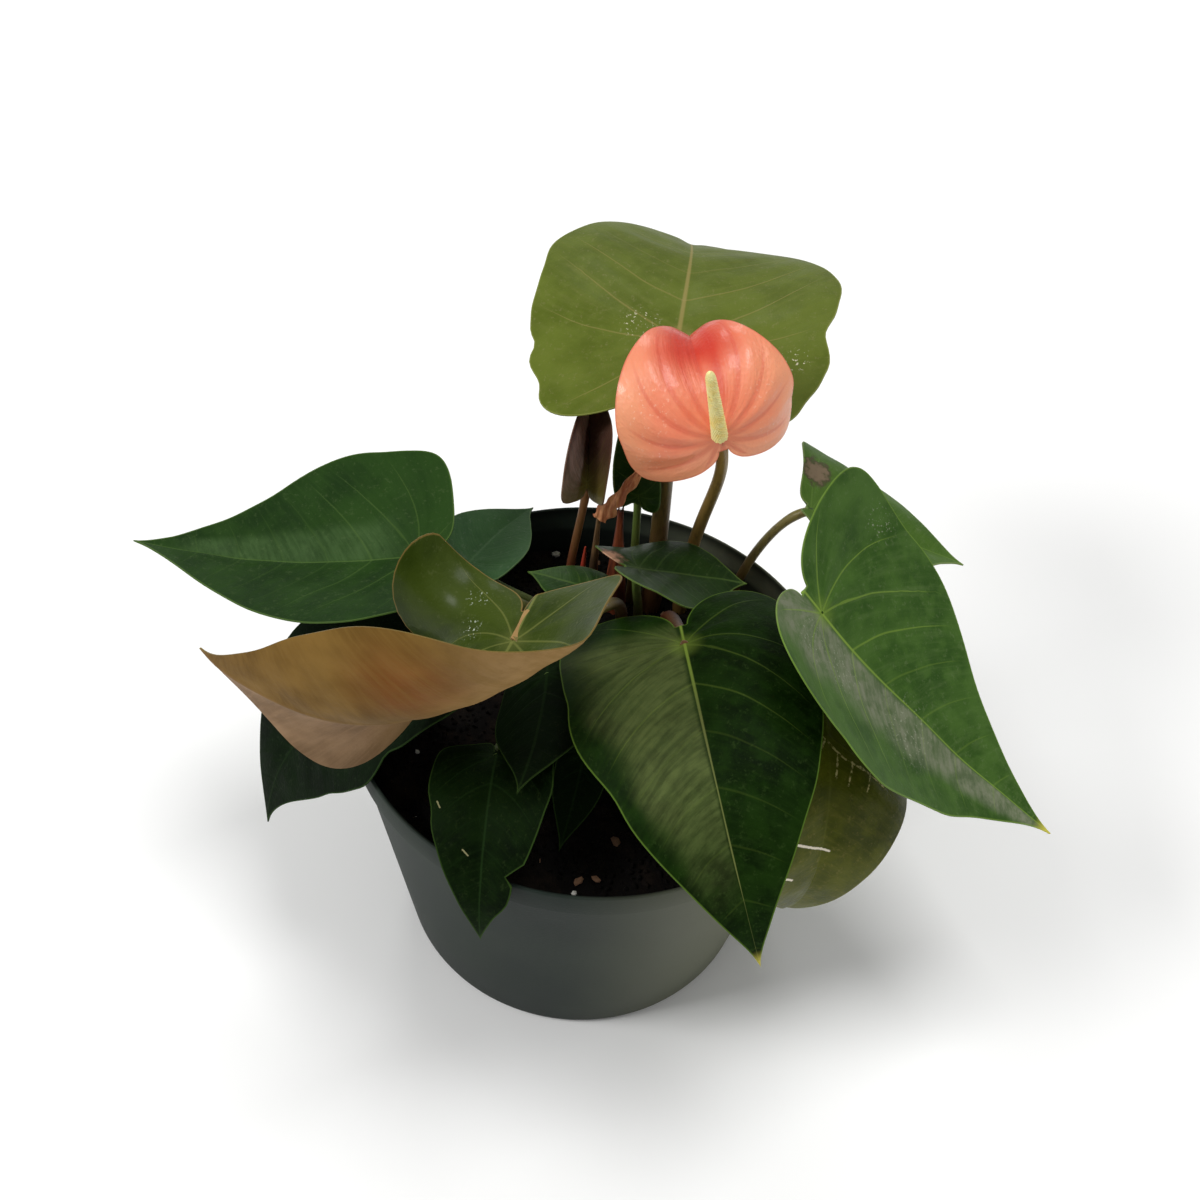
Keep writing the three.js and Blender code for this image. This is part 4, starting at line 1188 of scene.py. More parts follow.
def curve_along(name, points, radii):
    """A curve through points in millimetres, with a radius at each."""
    curve = bpy.data.curves.new(name, "CURVE")
    curve.dimensions = "3D"
    line = curve.splines.new("POLY")
    line.points.add(len(points) - 1)
    for spot, place, radius in zip(line.points, points, radii):
        spot.co = (*(np.asarray(place) * MM), 1)
        spot.radius = radius * MM
    return link(bpy.data.objects.new(name, curve))


def tube_along(name, points, radii, material, sides=14):
    """A closed tube along points in millimetres, with a radius at each."""
    tree = bpy.data.node_groups.get("Stalk tube") or stalk_tree()
    source = curve_along(f"{name}_line", points, radii)
    return run_tree(source, tree, {"Sides": sides, "Material": material}, name)


# Stem colours: at the soil and at the blade, and the flecks.
STALKS = {
    "green": ((88, 74, 40), (98, 122, 54), (60, 56, 28)),
    "brown": ((88, 58, 32), (120, 108, 52), (56, 40, 22)),
    "red": ((96, 34, 22), (108, 72, 38), (56, 22, 14)),
    "flower": ((116, 88, 42), (140, 114, 56), (84, 60, 30)),
}


def stalk_material(kind):
    """A stem: redder at the foot, greener at the top, with long streaks and small flecks."""
    name = f"{kind.capitalize()} stem"
    if name in bpy.data.materials:
        return bpy.data.materials[name]
    foot, top, fleck = (tint(*colour) for colour in STALKS[kind])
    material, tree, shader = new_material(name)
    grit = grit_on(vector_calc("MULTIPLY", object_place(tree), (1.0, 1.0, 0.12)), 700.0, 2600.0)
    drift = plus(attribute(tree, "share", "Fac"), times(minus(grit["Patches"], 0.5), 0.5))
    colour = blended(ramped(drift, 0.15, 0.85), foot, top)
    colour = blended(times(ramped(grit["Patches"], 0.52, 0.72), 0.6), colour, fleck)
    set_shader(shader, colour, plus(0.34, times(grit["Grain"], 0.2)),
               grit["Height"], 0.00012, coat_weight=0.1)
    return material


STALK_SLOTS = {"green": "green_stem", "brown": "brown_stem", "red": "red_stem", "flower": "brown_stem"}


def make_stalks():
    """A stem for each leaf."""
    for blade in LEAVES:
        kind = blade.stalk[-1]
        path, radii = stalk_line(blade)
        made = tube_along(f"stalk_{blade.name}", path, radii, stalk_material(kind))
        place_piece(made, STALK_SLOTS[kind], f"stem_{blade.name}")


def dry_material(name, dark, light, scale):
    """Papery dry tissue with lengthwise fibres."""
    material, tree, shader = new_material(name)
    long = vector_calc("MULTIPLY", object_place(tree), (1.0, 1.0, 0.15))
    grit = grit_on(long, scale, scale * 3.5)
    colour = blended(ramped(grit["Patches"], 0.35, 0.68), tint(*dark), tint(*light))
    colour = blended(times(ramped(grit["Grain"], 0.5, 0.8), 0.35), colour, tint(*dark))
    set_shader(shader, colour, 0.62, grit["Height"], 0.0004)
    return material


def dry_sheet(name, points, columns, half_thick, material):
    """A thin closed piece from rows of points."""
    faces = []
    for a in range(len(points) - columns - 1):
        if a % (columns + 1) < columns:
            faces.append([a, a + 1, a + columns + 2, a + columns + 1])
    half = np.full(len(points), half_thick)
    solid, all_faces, _ = closed_sheet(points, sheet_normals(points, faces), faces, half, half)
    return mesh_object(name, solid, all_faces, [material], sharp=70)


def wrapped_sheath(name, foot, top, radius, material, open_share, slot):
    """A papery sheath rolled round nothing, open on one side, and drawn to a ragged tip."""
    around, up = 22, 34
    foot, collar = np.array([*foot, SOIL_TOP - 6], float), np.array([*foot, SOIL_TOP + 4], float)
    t = np.linspace(0, 1, up + 1)
    points = []
    for i, centre in enumerate(arc(foot, collar, np.array(top, float), up)):
        width = radius * (1 - 0.78 * smooth(t[i], 0.45, 1)) * (1 + 0.06 * math.sin(9 * t[i]))
        wrap = 2 * math.pi * (1 - open_share * smooth(t[i], 0.15, 0.9))
        for k in range(around + 1):
            turn = -math.pi / 2 + wrap * (k / around - 0.5)
            fray = 1 + 0.05 * math.sin(5 * turn + 7 * t[i])
            points.append(centre + (width * fray * math.cos(turn), width * fray * math.sin(turn), 0.0))
    points = np.array(points)
    points[:, 2] += 1.4 * np.sin(3.1 * np.arange(len(points))) * (points[:, 2] > top[2] - 2)
    place_piece(dry_sheet(f"{name}_wrap", points, around, 0.16, material), slot, name)


def make_sheaths():
    """The dry sheaths, the red shoot and the dry bract."""
    russet = dry_material("Russet sheath", (78, 30, 16), (160, 80, 46), 420.0)
    wrapped_sheath("sheath_tall", (4, 43.5), (3, 43, 143), 3.4, russet, 0.45, "sheath")
    wrapped_sheath("sheath_thin", (-4, 43), (-3.5, 44, 149), 1.5,
                   dry_material("Brown sheath", (70, 50, 28), (128, 96, 56), 480.0), 0.3, "sheath")
    t = np.linspace(0, 1, 16)
    points = [(-7.5 + 0.5 * u * u, 44 - u, 86 + 38 * u) for u in t]
    made = tube_along("red_shoot", points, 1.4 * (1 - 0.85 * t**2.5) + 0.05, shoot_material())
    place_piece(made, "red_stem", "shoot_red")
    make_bract()


def shoot_material():
    """The young shoot: bright red with a paler tip."""
    material, tree, shader = new_material("Red shoot")
    share = attribute(tree, "share", "Fac")
    colour = blended(ramped(share, 0.3, 1.0), tint(110, 26, 22), tint(196, 74, 52))
    grit = grit_on(object_place(tree), 500.0, 900.0)
    colour = blended(times(grit["Patches"], 0.3), colour, tint(84, 20, 18))
    set_shader(shader, colour, 0.4, grit["Height"], 0.0001)
    return material


# The bract's crumpled strip: places up its middle, and half its width at each.
BRACT_LINE = ((-3.5, 34.6, 146.5), (-1.2, 35.2, 150), (1.2, 35.2, 154.5), (4.2, 35.8, 160.5),
              (7.8, 36.8, 167.5), (10.8, 37.4, 174))
BRACT_WIDTH = (3.0, 3.4, 2.6, 2.0, 1.8, 1.2)


def make_bract():
    """The dry bract: a crumpled, twisted strip of tan tissue with a torn end."""
    along, across = 48, 12
    knots = np.array(BRACT_LINE)
    t = np.linspace(0, len(knots) - 1, along + 1)
    line = np.stack([np.interp(t, range(len(knots)), knots[:, k]) for k in range(3)], -1)
    width = np.interp(t, range(len(knots)), BRACT_WIDTH)
    ahead = unit(np.gradient(line, axis=0))
    points = []
    for i in range(along + 1):
        side = unit(np.cross(ahead[i], (0.0, -0.85, 0.5)))
        out = np.cross(side, ahead[i])
        for k in range(across + 1):
            v = 2 * k / across - 1
            curl = 0.75 * abs(v) ** 1.6 * math.cos(0.9 * t[i] + 2.2 * v)
            crumple = 0.55 * math.sin(2.7 * t[i] + 2.5 * v) * math.cos(4.1 * v + 1.3 * t[i])
            ragged = 1 + 0.22 * math.sin(5.3 * t[i] + 3 * np.sign(v)) * abs(v)
            points.append(line[i] + side * (v * width[i] * ragged * 0.8) + out * (1.2 * curl + crumple))
    material = dry_material("Tan bract", (168, 94, 56), (228, 164, 112), 520.0)
    place_piece(dry_sheet("dry_bract", np.array(points), across, 0.14, material), "bract", "bract_dry")


# The flower

GOLDEN_ANGLE = math.radians(137.508)

# Where the spathe glints in small flecks: the centre and the radius.
GLINTS = (((12.0, 17.0), 10.0), ((0.0, 20.0), 8.0), ((8.0, -15.0), 7.0), ((-4.0, -14.0), 6.0))


def spathe_material(settings, underside):
    """The waxy spathe: salmon, paler at the margin, flame red in the furrows and at the tip, with painted
    light and shade and painted glints.
    """
    material, tree, shader = new_material("Spathe underside" if underside else "Spathe face")
    place, veins, grain = blade_groups(
        tree, {"Midrib width": 0.9, "Vein width": 1.5, "Margin width": 0.5, "Far veins": 1.0},
        {"Mottle size": 6.0, "Streaks": 3.0})
    s, y, edge = split(place)
    colour = blended(ramped(edge, 2.0, 14.0), settings.pale, settings.salmon)
    colour = blended(times(ramped(grain["Mottle"], 0.4, 0.75), 0.3), colour, settings.pale)
    # Painted light: paler away from the midrib on the right half, as if lit more on that side.
    colour = blended(ramped(y, -5.0, -15.0, 0.0, 0.45), colour, settings.pale)
    middle = ramped(calc("ABSOLUTE", y), 5.0, 18.0, 1.0, 0.35)
    flame = ramped(grain["Blotch"], 0.2, 0.6, 0.8, 1.0)
    flame = times(ramped(s, 13.0, 27.0), flame)
    colour = blended(times(flame, middle), colour, settings.flame)
    # Painted shade: a flame-red strip beside the midrib on the right, near the spadix's foot, for the shade
    # of the fold and the spadix.
    beside = ramped(calc("ABSOLUTE", plus(y, 4.5)), 0.0, 3.0, 0.45, 0.0)
    colour = blended(times(beside, ramped(s, 2.0, 16.0)), colour, settings.flame)
    for centre, radius in GLINTS:
        glint = times(fleck_cluster(place, centre, radius), 0.5)
        colour = blended(glint, colour, tint(255, 214, 190))
    colour = blended(times(veins["Veins"], 0.3), colour, settings.flame)
    colour = blended(times(veins["Halo"], 0.1), colour, settings.flame)
    colour = blended(times(veins["Margin"], 0.4), colour, settings.flame)
    height = weighted(grain, Streak=1.0, Mottle=0.2, Cells=0.24)
    rough = plus(0.3, times(grain["Mottle"], 0.2))
    set_shader(shader, colour, rough, height, 0.0004, coat_weight=0.0 if underside else 0.18,
               coat_roughness=0.12, subsurface_weight=0.12, subsurface_scale=0.004)
    return material


def spadix_line(settings):
    """Points up the spadix's middle, from the spathe's junction."""
    _, _, up = SPATHE.base
    root = SPATHE.junction + up * 0.6
    lean = unit(np.array([-0.2, -0.17, 1.0]))
    tip = root + lean * settings.spadix_length / MM
    return arc(root, (root + tip) / 2 + up, tip, 23)


def spike_radius(inputs, share, top):
    """The spadix's radius at a share of its length, and how far that is into its rounded end."""
    end_share = calc("MAXIMUM", 0.0, calc("DIVIDE", minus(share, 0.9), 0.1))
    dome = calc("SQRT", minus(top, times(end_share, end_share)))
    spread = minus(inputs["Tip radius"], inputs["Base radius"])
    return times(plus(inputs["Base radius"], times(spread, share)), dome), end_share


def floret_tree():
    """Florets in a spiral on a tapering spike along a curve."""
    tree, inputs, end = geometry_tree(
        "Floret spiral", ("Count", WHOLE, 400), ("Base radius", FLOAT, 0.0025),
        ("Tip radius", FLOAT, 0.0014), ("Floret size", FLOAT, 0.0006), ("Seed", WHOLE, 3))
    index = node(tree, "GeometryNodeInputIndex").outputs[0]
    share = calc("DIVIDE", plus(index, 0.5), inputs["Count"])
    values = {"Curves": inputs["Geometry"], "Factor": share}
    sample = node(tree, "GeometryNodeSampleCurve", values, mode="FACTOR")
    position, tangent, normal = (sample.outputs[k] for k in ("Position", "Tangent", "Normal"))
    turn = times(index, GOLDEN_ANGLE)
    across = vector_calc("CROSS_PRODUCT", tangent, normal)
    outward = vector_calc("ADD", scaled(normal, calc("COSINE", turn)), scaled(across, calc("SINE", turn)))
    radius, end_share = spike_radius(inputs, share, 1.02)
    place = vector_calc("ADD", position, scaled(outward, radius))
    points = node(tree, "GeometryNodeMeshLine", {"Count": inputs["Count"]})
    moved = node(tree, "GeometryNodeSetPosition", {"Geometry": points.outputs[0], "Position": place})
    facing = vector_calc("ADD", outward, scaled(tangent, times(end_share, 1.5)))
    turned_to = node(tree, "FunctionNodeAlignRotationToVector", {"Vector": facing}, axis="Z")
    floret = node(tree, "GeometryNodeMeshIcoSphere", {"Radius": inputs["Floret size"], "Subdivisions": 1})
    values = {2: 0.82, 3: 1.08, "Seed": inputs["Seed"]}
    vary = node(tree, "FunctionNodeRandomValue", values, data_type="FLOAT")
    set_on = node(tree, "GeometryNodeInstanceOnPoints",
                  {"Points": moved.outputs[0], "Instance": floret.outputs[0],
                   "Rotation": turned_to.outputs[0],
                   "Scale": scaled((1.0, 1.0, 0.62), vary.outputs[1])})
    core_share = node(tree, "GeometryNodeSplineParameter").outputs["Factor"]
    core_line = node(tree, "GeometryNodeResampleCurve", {"Curve": inputs["Geometry"], "Count": 48})
    core = node(tree, "GeometryNodeSetCurveRadius",
                {"Curve": core_line.outputs[0], "Radius": spike_radius(inputs, core_share, 1.03)[0]})
    both = node(tree, "GeometryNodeJoinGeometry")
    for geometry in (swept(tree, core.outputs[0], 20), set_on.outputs[0]):
        feed(both, {0: geometry})
    return end_tree(tree, both.outputs[0], inputs, end)


def spadix_material(settings):
    """Creamy florets in riper and paler patches, with a few brown specks."""
    material, tree, shader = new_material("Spadix")
    where = object_place(tree)
    grit = grit_on(where, 320.0, 1800.0)
    patches = ramped(grit["Patches"], 0.35, 0.7)
    colour = blended(patches, settings.cream, settings.ripe)
    speck = noise(where, 520.0, 1.0)
    colour = blended(times(ramped(speck, 0.7, 0.76), 0.7), colour, tint(138, 98, 50))
    set_shader(shader, colour, 0.48, grit["Height"], 0.0001, subsurface_weight=0.1,
               subsurface_scale=0.002)
    return material


def make_flower(settings, leaf_settings):
    """The spathe, the spadix and the flower stem."""
    materials = [spathe_material(settings, False), spathe_material(settings, True)]
    made = make_blade(SPATHE, "spathe_blade", leaf_settings, settings.spathe_thickness / MM, materials,
                      spathe_phase, settings.furrow / MM, (44, 34, 36), 26, plain=(3, 13))
    place_piece(made, "spathe", "spathe")
    line = spadix_line(settings)
    source = curve_along("spadix_line", line, np.ones(len(line)))
    values = {"Count": settings.floret_count, "Base radius": settings.spadix_base - 0.0003,
              "Tip radius": settings.spadix_tip - 0.0002, "Floret size": 0.00042, "Seed": 3,
              "Material": spadix_material(settings)}
    made = run_tree(source, floret_tree(), values, "spadix_florets")
    place_piece(made, "spadix", "spadix")
    path, radii = stalk_line(SPATHE)
    made = tube_along("flower_stalk", path, radii, stalk_material("flower"), 16)
    place_piece(made, "brown_stem", "flower_stem")


# The pot


def drain_tree():
    """Cuts a ring of round holes through the pot's floor."""
    tree, inputs, end = geometry_tree("Drain holes", ("Count", WHOLE, 6), ("Circle radius", FLOAT, 0.042),
                                      ("Hole radius", FLOAT, 0.005))
    circle = node(tree, "GeometryNodeMeshCircle",
                  {"Vertices": inputs["Count"], "Radius": inputs["Circle radius"]})
    spun = node(tree, "GeometryNodeTransform",
                {"Geometry": circle.outputs[0], "Rotation": (0.0, 0.0, math.radians(30))})
    punch = node(tree, "GeometryNodeMeshCylinder",
                 {"Vertices": 24, "Radius": inputs["Hole radius"], "Depth": 0.02})
    punches = node(tree, "GeometryNodeInstanceOnPoints",
                   {"Points": spun.outputs[0], "Instance": punch.outputs[0]})
    real = node(tree, "GeometryNodeRealizeInstances", {"Geometry": punches.outputs[0]})
    cut = node(tree, "GeometryNodeMeshBoolean", {"Mesh 1": inputs["Geometry"], "Mesh 2": real.outputs[0]},
               operation="DIFFERENCE", solver="EXACT")
    return end_tree(tree, cut.outputs[0], inputs, end)


def turned_mesh(profile, segments):
    """A surface turned about Z. The profile starts and ends on the axis, outside first."""
    points, rings = [], []
    for radius, height in profile:
        if radius == 0:
            rings.append([len(points)])
            points.append((0, 0, height))
            continue
        rings.append(range(len(points), len(points) + segments))
        for k in range(segments):
            turn = 2 * math.pi * k / segments
            points.append((radius * math.cos(turn), radius * math.sin(turn), height))
    faces = []
    for low, high in zip(rings, rings[1:]):
        for k in range(segments):
            n = (k + 1) % segments
            corners = [low[k % len(low)], low[n % len(low)], high[n % len(high)], high[k % len(high)]]
            faces.append(list(dict.fromkeys(corners)))
    return points, faces


def pot_material(settings):
    """Matt moulded plastic: cloudy and faintly scuffed, with painted light on its right and painted shade
    inside.
    """
    material, tree, shader = new_material("Pot plastic")
    where = object_place(tree)
    grit = grit_on(where, 26.0, 1400.0)
    colour = blended(ramped(grit["Patches"], 0.35, 0.75, 0.0, 0.55), settings.colour, settings.worn)
    colour = blended(times(grit["Grain"], 0.16), colour, settings.worn)
    scuffs = noise(vector_calc("MULTIPLY", where, (60.0, 60.0, 700.0)), 1.0, 2.0)
    colour = blended(times(ramped(scuffs, 0.68, 0.8), 0.25), colour, settings.worn)
    x, y, z = split(where)
    # Painted light: paler and olive towards +X, as if lit from that side.
    colour = blended(ramped(x, -0.005, 0.06, 0.0, 0.75), colour, tint(116, 118, 98))
    # Painted shade: the inner face of the wall darkened towards black.
    slope = wall_slope(settings)
    outer = plus(settings.base_radius, times(z, slope))
    level = calc("SQRT", plus(times(x, x), times(y, y)))
    inside = ramped(minus(outer, level), 0.0004, 0.0012, 0.0, 0.8)
    colour = blended(inside, colour, tuple(0.25 * c for c in settings.colour))
    rough = plus(0.5, times(grit["Patches"], 0.2))
    set_shader(shader, colour, rough, grit["Height"], 0.00012, specular_ior_level=0.18)
    return material


def wall_slope(settings):
    """How far the wall leans out for its height."""
    out = settings.rim_radius - settings.step - settings.base_radius
    return out / (settings.height - settings.band)


def inner_radius(settings, height):
    """The wall's inner radius at a height below the band, in millimetres."""
    return (settings.base_radius + wall_slope(settings) * height * MM - settings.wall) / MM


def make_pot(settings):
    """The thin wall with its rim band, and the drain holes in its floor."""
    rim, top, base = settings.rim_radius / MM, settings.height / MM, settings.base_radius / MM
    wall, floor, lip = settings.wall / MM, settings.floor / MM, settings.lip / MM
    band = top - settings.band / MM

    def outer(height):
        return inner_radius(settings, height) + wall

    foot = [(base - 2 + 2 * math.sin(a), 2 - 2 * math.cos(a)) for a in np.radians([0, 18, 36, 54, 72])]
    profile = [
        (0, 0), (12, 0), (24, 0), (36, 0), (48, 0), *foot, (outer(3), 3), (outer(35), 35),
        (outer(68), 68), (outer(band - 1), band - 1), (outer(band), band - 0.15), (rim - 0.5, band + 0.1),
        (rim - 0.1, band + 0.35), (rim, band + 0.8), (rim, top - 0.7), (rim - 0.12, top - 0.25),
        (rim - 0.4, top), (rim - lip + 0.35, top), (rim - lip + 0.08, top - 0.2), (rim - lip, top - 0.6),
        (rim - lip - 0.2, band + 2),
        (outer(band - 1) - wall, band - 1), (outer(50) - wall, 50), (outer(floor + 1) - wall, floor + 1),
        (outer(floor) - wall - 1, floor), (48, floor), (36, floor), (24, floor), (12, floor), (0, floor),
    ]
    points, faces = turned_mesh(profile, settings.segments)
    source = mesh_object("pot_turned", points, [f[::-1] for f in faces], [])
    values = {"Count": settings.drain_count, "Circle radius": settings.drain_circle,
              "Hole radius": settings.drain_radius, "Material": pot_material(settings)}
    made = run_tree(source, drain_tree(), values, "grower_pot")
    made.data.set_sharp_from_angle(angle=math.radians(40))
    place_piece(made, "pot", "pot")


# The soil


def soil_height(settings, x, y):
    """The height of the soil's top in millimetres."""
    broad = np.sin(0.21 * x + 1.1) * np.cos(0.17 * y - 0.4)
    fine = 0.5 * np.sin(0.39 * x - 0.31 * y)
    lumps = 0.5 * waves(np.stack([x, y], -1), 5.0, seed=5) + 0.35 * waves(np.stack([x, y], -1), 2.2, seed=6)
    return settings.top / MM + settings.bump / MM * (broad + fine) + lumps


def soil_material(settings):
    """Near-black moist peat with drier, browner crumbs."""
    material, tree, shader = new_material("Peat")
    grit = grit_on(object_place(tree), 130.0, 1100.0)
    patches = ramped(grit["Patches"], 0.45, 0.8)
    colour = blended(patches, settings.dark, settings.light)
    colour = blended(times(ramped(grit["Grain"], 0.6, 0.85), 0.5), colour, settings.light)
    set_shader(shader, colour, 0.95, grit["Height"], 0.0006, specular_ior_level=0.15)
    return material


def fleck_material(name, colour):
    """A pale grain or chip, blotched and matt."""
    material, tree, shader = new_material(name)
    grit = grit_on(object_place(tree), 260.0, 1500.0)
    shade = tuple(0.4 * c for c in colour)
    mixed = blended(ramped(grit["Patches"], 0.4, 0.75), colour, shade)
    mixed = blended(times(grit["Grain"], 0.3), mixed, shade)
    set_shader(shader, mixed, 0.85, grit["Height"], 0.0004)
    return material


def scatter_tree():
    """Scatters copies of a small solid over a surface."""
    tree, inputs, end = geometry_tree(
        "Scatter", ("Solid", "NodeSocketObject"), ("Gap", FLOAT, 0.002), ("Density", FLOAT, 400000.0),
        ("Smallest", FLOAT, 0.4), ("Largest", FLOAT, 1.0), ("Seed", WHOLE, 1))
    spots = node(tree, "GeometryNodeDistributePointsOnFaces",
                 {"Mesh": inputs["Geometry"], "Distance Min": inputs["Gap"], "Density Max": inputs["Density"],
                  "Seed": inputs["Seed"]}, distribute_method="POISSON")
    solid = node(tree, "GeometryNodeObjectInfo", {"Object": inputs["Solid"]})
    turn = node(tree, "FunctionNodeRandomValue",
                {0: (0.0, 0.0, 0.0), 1: (6.28, 6.28, 6.28), "Seed": inputs["Seed"]},
                data_type="FLOAT_VECTOR")
    size = node(tree, "FunctionNodeRandomValue",
                {2: inputs["Smallest"], 3: inputs["Largest"], "Seed": plus(inputs["Seed"], 7.0)},
                data_type="FLOAT")
    set_on = node(tree, "GeometryNodeInstanceOnPoints",
                  {"Points": spots.outputs[0], "Instance": solid.outputs["Geometry"],
                   "Rotation": turn.outputs[0], "Scale": size.outputs[1]})
    return end_tree(tree, set_on.outputs[0], inputs, end)


def lump(name, radii, seed):
    """A small rough solid with twenty faces, for scattering."""
    ball = bmesh.new()
    bmesh.ops.create_icosphere(ball, subdivisions=1, radius=1)
    ball.verts.index_update()
    points = np.array([corner.co[:] for corner in ball.verts])
    faces = [[corner.index for corner in face.verts] for face in ball.faces]
    ball.free()
    draw = np.random.default_rng(seed)
    points = points * draw.uniform(0.75, 1.15, (len(points), 1)) * radii
    return mesh_object(name, points, faces, [], sharp=25)


def soil_patch(settings, rings, segments, edge):
    """Points and faces of the soil's top out to the edge radius."""
    points, faces = [(0.0, 0.0)], []
    for ring in range(1, rings + 1):
        for k in range(segments):
            turn = 2 * math.pi * k / segments
            points.append((edge * ring / rings * math.cos(turn), edge * ring / rings * math.sin(turn)))
    flat = np.array(points)
    heights = soil_height(settings, flat[:, 0], flat[:, 1])
    heights -= settings.slump / MM * smooth(np.hypot(*flat.T), 0.86 * edge, edge)
    for k in range(segments):
        n = (k + 1) % segments
        faces.append([0, 1 + k, 1 + n])
        for ring in range(rings - 1):
            a = 1 + ring * segments
            faces.append([a + k, a + segments + k, a + segments + n, a + n])
    return np.column_stack([flat, heights]), faces


# Square metres of soil, for the scatter's densities.
SOIL_AREA = 0.0145

# Flecks that stand out on the soil: kind, place, and size.
NOTED_FLECKS = (
    ("perlite", (-17, 65), 1.6), ("chip", (11, -47), 2.4), ("chip", (1, -62), 2.0),
    ("chip", (21, 42), 2.6), ("perlite", (0, -67), 1.0), ("chip", (6, -61), 1.8),
)


def make_soil(settings, pot):
    """The soil, its crumbs, bark chips and perlite."""
    edge = inner_radius(pot, settings.top / MM - 4) - 2 * CLEARANCE
    rings, segments = 44, 96
    points, faces = soil_patch(settings, rings, segments, edge)
    floor = pot.floor / MM + CLEARANCE
    low = inner_radius(pot, floor) - 2 * CLEARANCE
    turns = 2 * math.pi * np.arange(segments) / segments
    points = np.concatenate([points, np.column_stack(
        [low * np.cos(turns), low * np.sin(turns), np.full(segments, floor)]), [[0, 0, floor]]])
    outer, lower, middle = 1 + (rings - 1) * segments, 1 + rings * segments, len(points) - 1
    for k in range(segments):
        n = (k + 1) % segments
        faces.append([outer + k, lower + k, lower + n, outer + n])
        faces.append([middle, lower + n, lower + k])
    peat = soil_material(settings)
    place_piece(mesh_object("peat", points, faces, [peat]), "soil", "soil")
    tree = scatter_tree()
    size = settings.crumb_size / MM
    # name, solid, least gap, number in a square metre, smallest size, material
    spread = (
        ("peat_crumbs", lump("crumb", (size, 0.8 * size, 0.62 * size), 1), settings.crumb_gap, 600000.0,
         0.35, peat),
        ("bark_chips", lump("chip", (2.4, 1.2, 0.45), 2), 0.006, settings.chip_count / SOIL_AREA, 0.4,
         fleck_material("Bark", settings.chip)),
        ("perlite_grains", lump("grain", (1.3, 1.1, 1.0), 3), 0.006, settings.perlite_count / SOIL_AREA, 0.3,
         fleck_material("Perlite", settings.perlite)),
    )
    for number, (name, solid, gap, density, smallest, material) in enumerate(spread):
        top_points, top_faces = soil_patch(settings, 30, 64, edge - 1.5)
        source = mesh_object(f"{name}_ground", top_points, top_faces, [])
        values = {"Solid": solid, "Gap": gap, "Density": density, "Smallest": smallest, "Largest": 1.0,
                  "Seed": settings.seed + number, "Material": material}
        made = run_tree(source, tree, values, name)
        bpy.data.objects.remove(solid)
        place_piece(made, "soil")
    make_noted_flecks(settings)


def make_noted_flecks(settings):
    """The few large flecks of bark and perlite that stand out."""
    for number, (kind, (x, y), size) in enumerate(NOTED_FLECKS):
        radii = (size, 0.6 * size, 0.35 * size) if kind == "chip" else (size, 0.85 * size, 0.75 * size)
        made = lump(f"{kind}_{number + 1}", radii, 20 + number)
        turn = Matrix.Rotation(1.7 * number + 0.4, 4, "Z")
        height = float(soil_height(settings, np.array([x]), np.array([y]))[0]) + 0.5
        made.data.transform(Matrix.Translation(Vector((x, y, height)) * MM) @ turn)
        made.data.materials.append(bpy.data.materials["Bark" if kind == "chip" else "Perlite"])
        place_piece(made, "soil")


# The stage

# Name, place, side and power of each lamp, in metres and watts.
STUDIO_LIGHTS = (
    ("key", (-2.3, -0.9, 2.5), 1.0, 52.0),
    ("overhead", (0.3, 0.2, 3.4), 1.2, 46.0),
    ("back", (-0.5, 2.9, 1.9), 0.9, 14.0),
)
LIT_PLACE = (0, 0, 0.1)


def make_stage(settings):
    """A pale floor, soft light from above and the camera at the photograph's angle."""
    half = settings.floor_size / 2 / MM
    corners = [(-half, -half, 0), (half, -half, 0), (half, half, 0), (-half, half, 0)]
    floor = mesh_object("stage_floor", corners, [[0, 1, 2, 3]], [floor_material(settings)])
    world = bpy.data.worlds.new("Studio")
    world.use_nodes = True
    world.node_tree.nodes["Background"].inputs["Color"].default_value = (1, 1, 1, 1)
    world.node_tree.nodes["Background"].inputs["Strength"].default_value = settings.ambient
    bpy.context.scene.world = world
    for name, place, size, power in STUDIO_LIGHTS:
        add_light(name, place, LIT_PLACE, size, power)
    bpy.context.scene.view_settings.view_transform = "Standard"
    bpy.context.scene.view_settings.look = "None"
    add_camera(settings)


def floor_material(settings):
    """A pale floor with faint clouds."""
    material, tree, shader = new_material("Floor")
    cloud = noise(object_place(tree), 3.0, 2.0)
    pale = settings.floor_colour
    colour = blended(times(cloud, 0.1), pale, tuple(0.97 * c for c in pale))
    set_shader(shader, colour, 0.9)
    return material


def add_light(name, place, target, size, power):
    """A square soft light that faces the target."""
    lamp = bpy.data.lights.new(name, "AREA")
    lamp.size = size
    lamp.energy = power
    made = link(bpy.data.objects.new(name, lamp))
    made.location = place
    made.rotation_euler = (Vector(target) - Vector(place)).to_track_quat("-Z", "Y").to_euler()


# The photograph's angle: how high the camera stands around the point that it circles, then how
# far it looks down, leans and turns, and the height of that point.
CAMERA_TILT = math.radians(52.21)
CAMERA_PITCH = math.radians(49.61)
CAMERA_ROLL = math.radians(5.43)
CAMERA_YAW = math.radians(-0.11)
AIM_HEIGHT = 0.1083


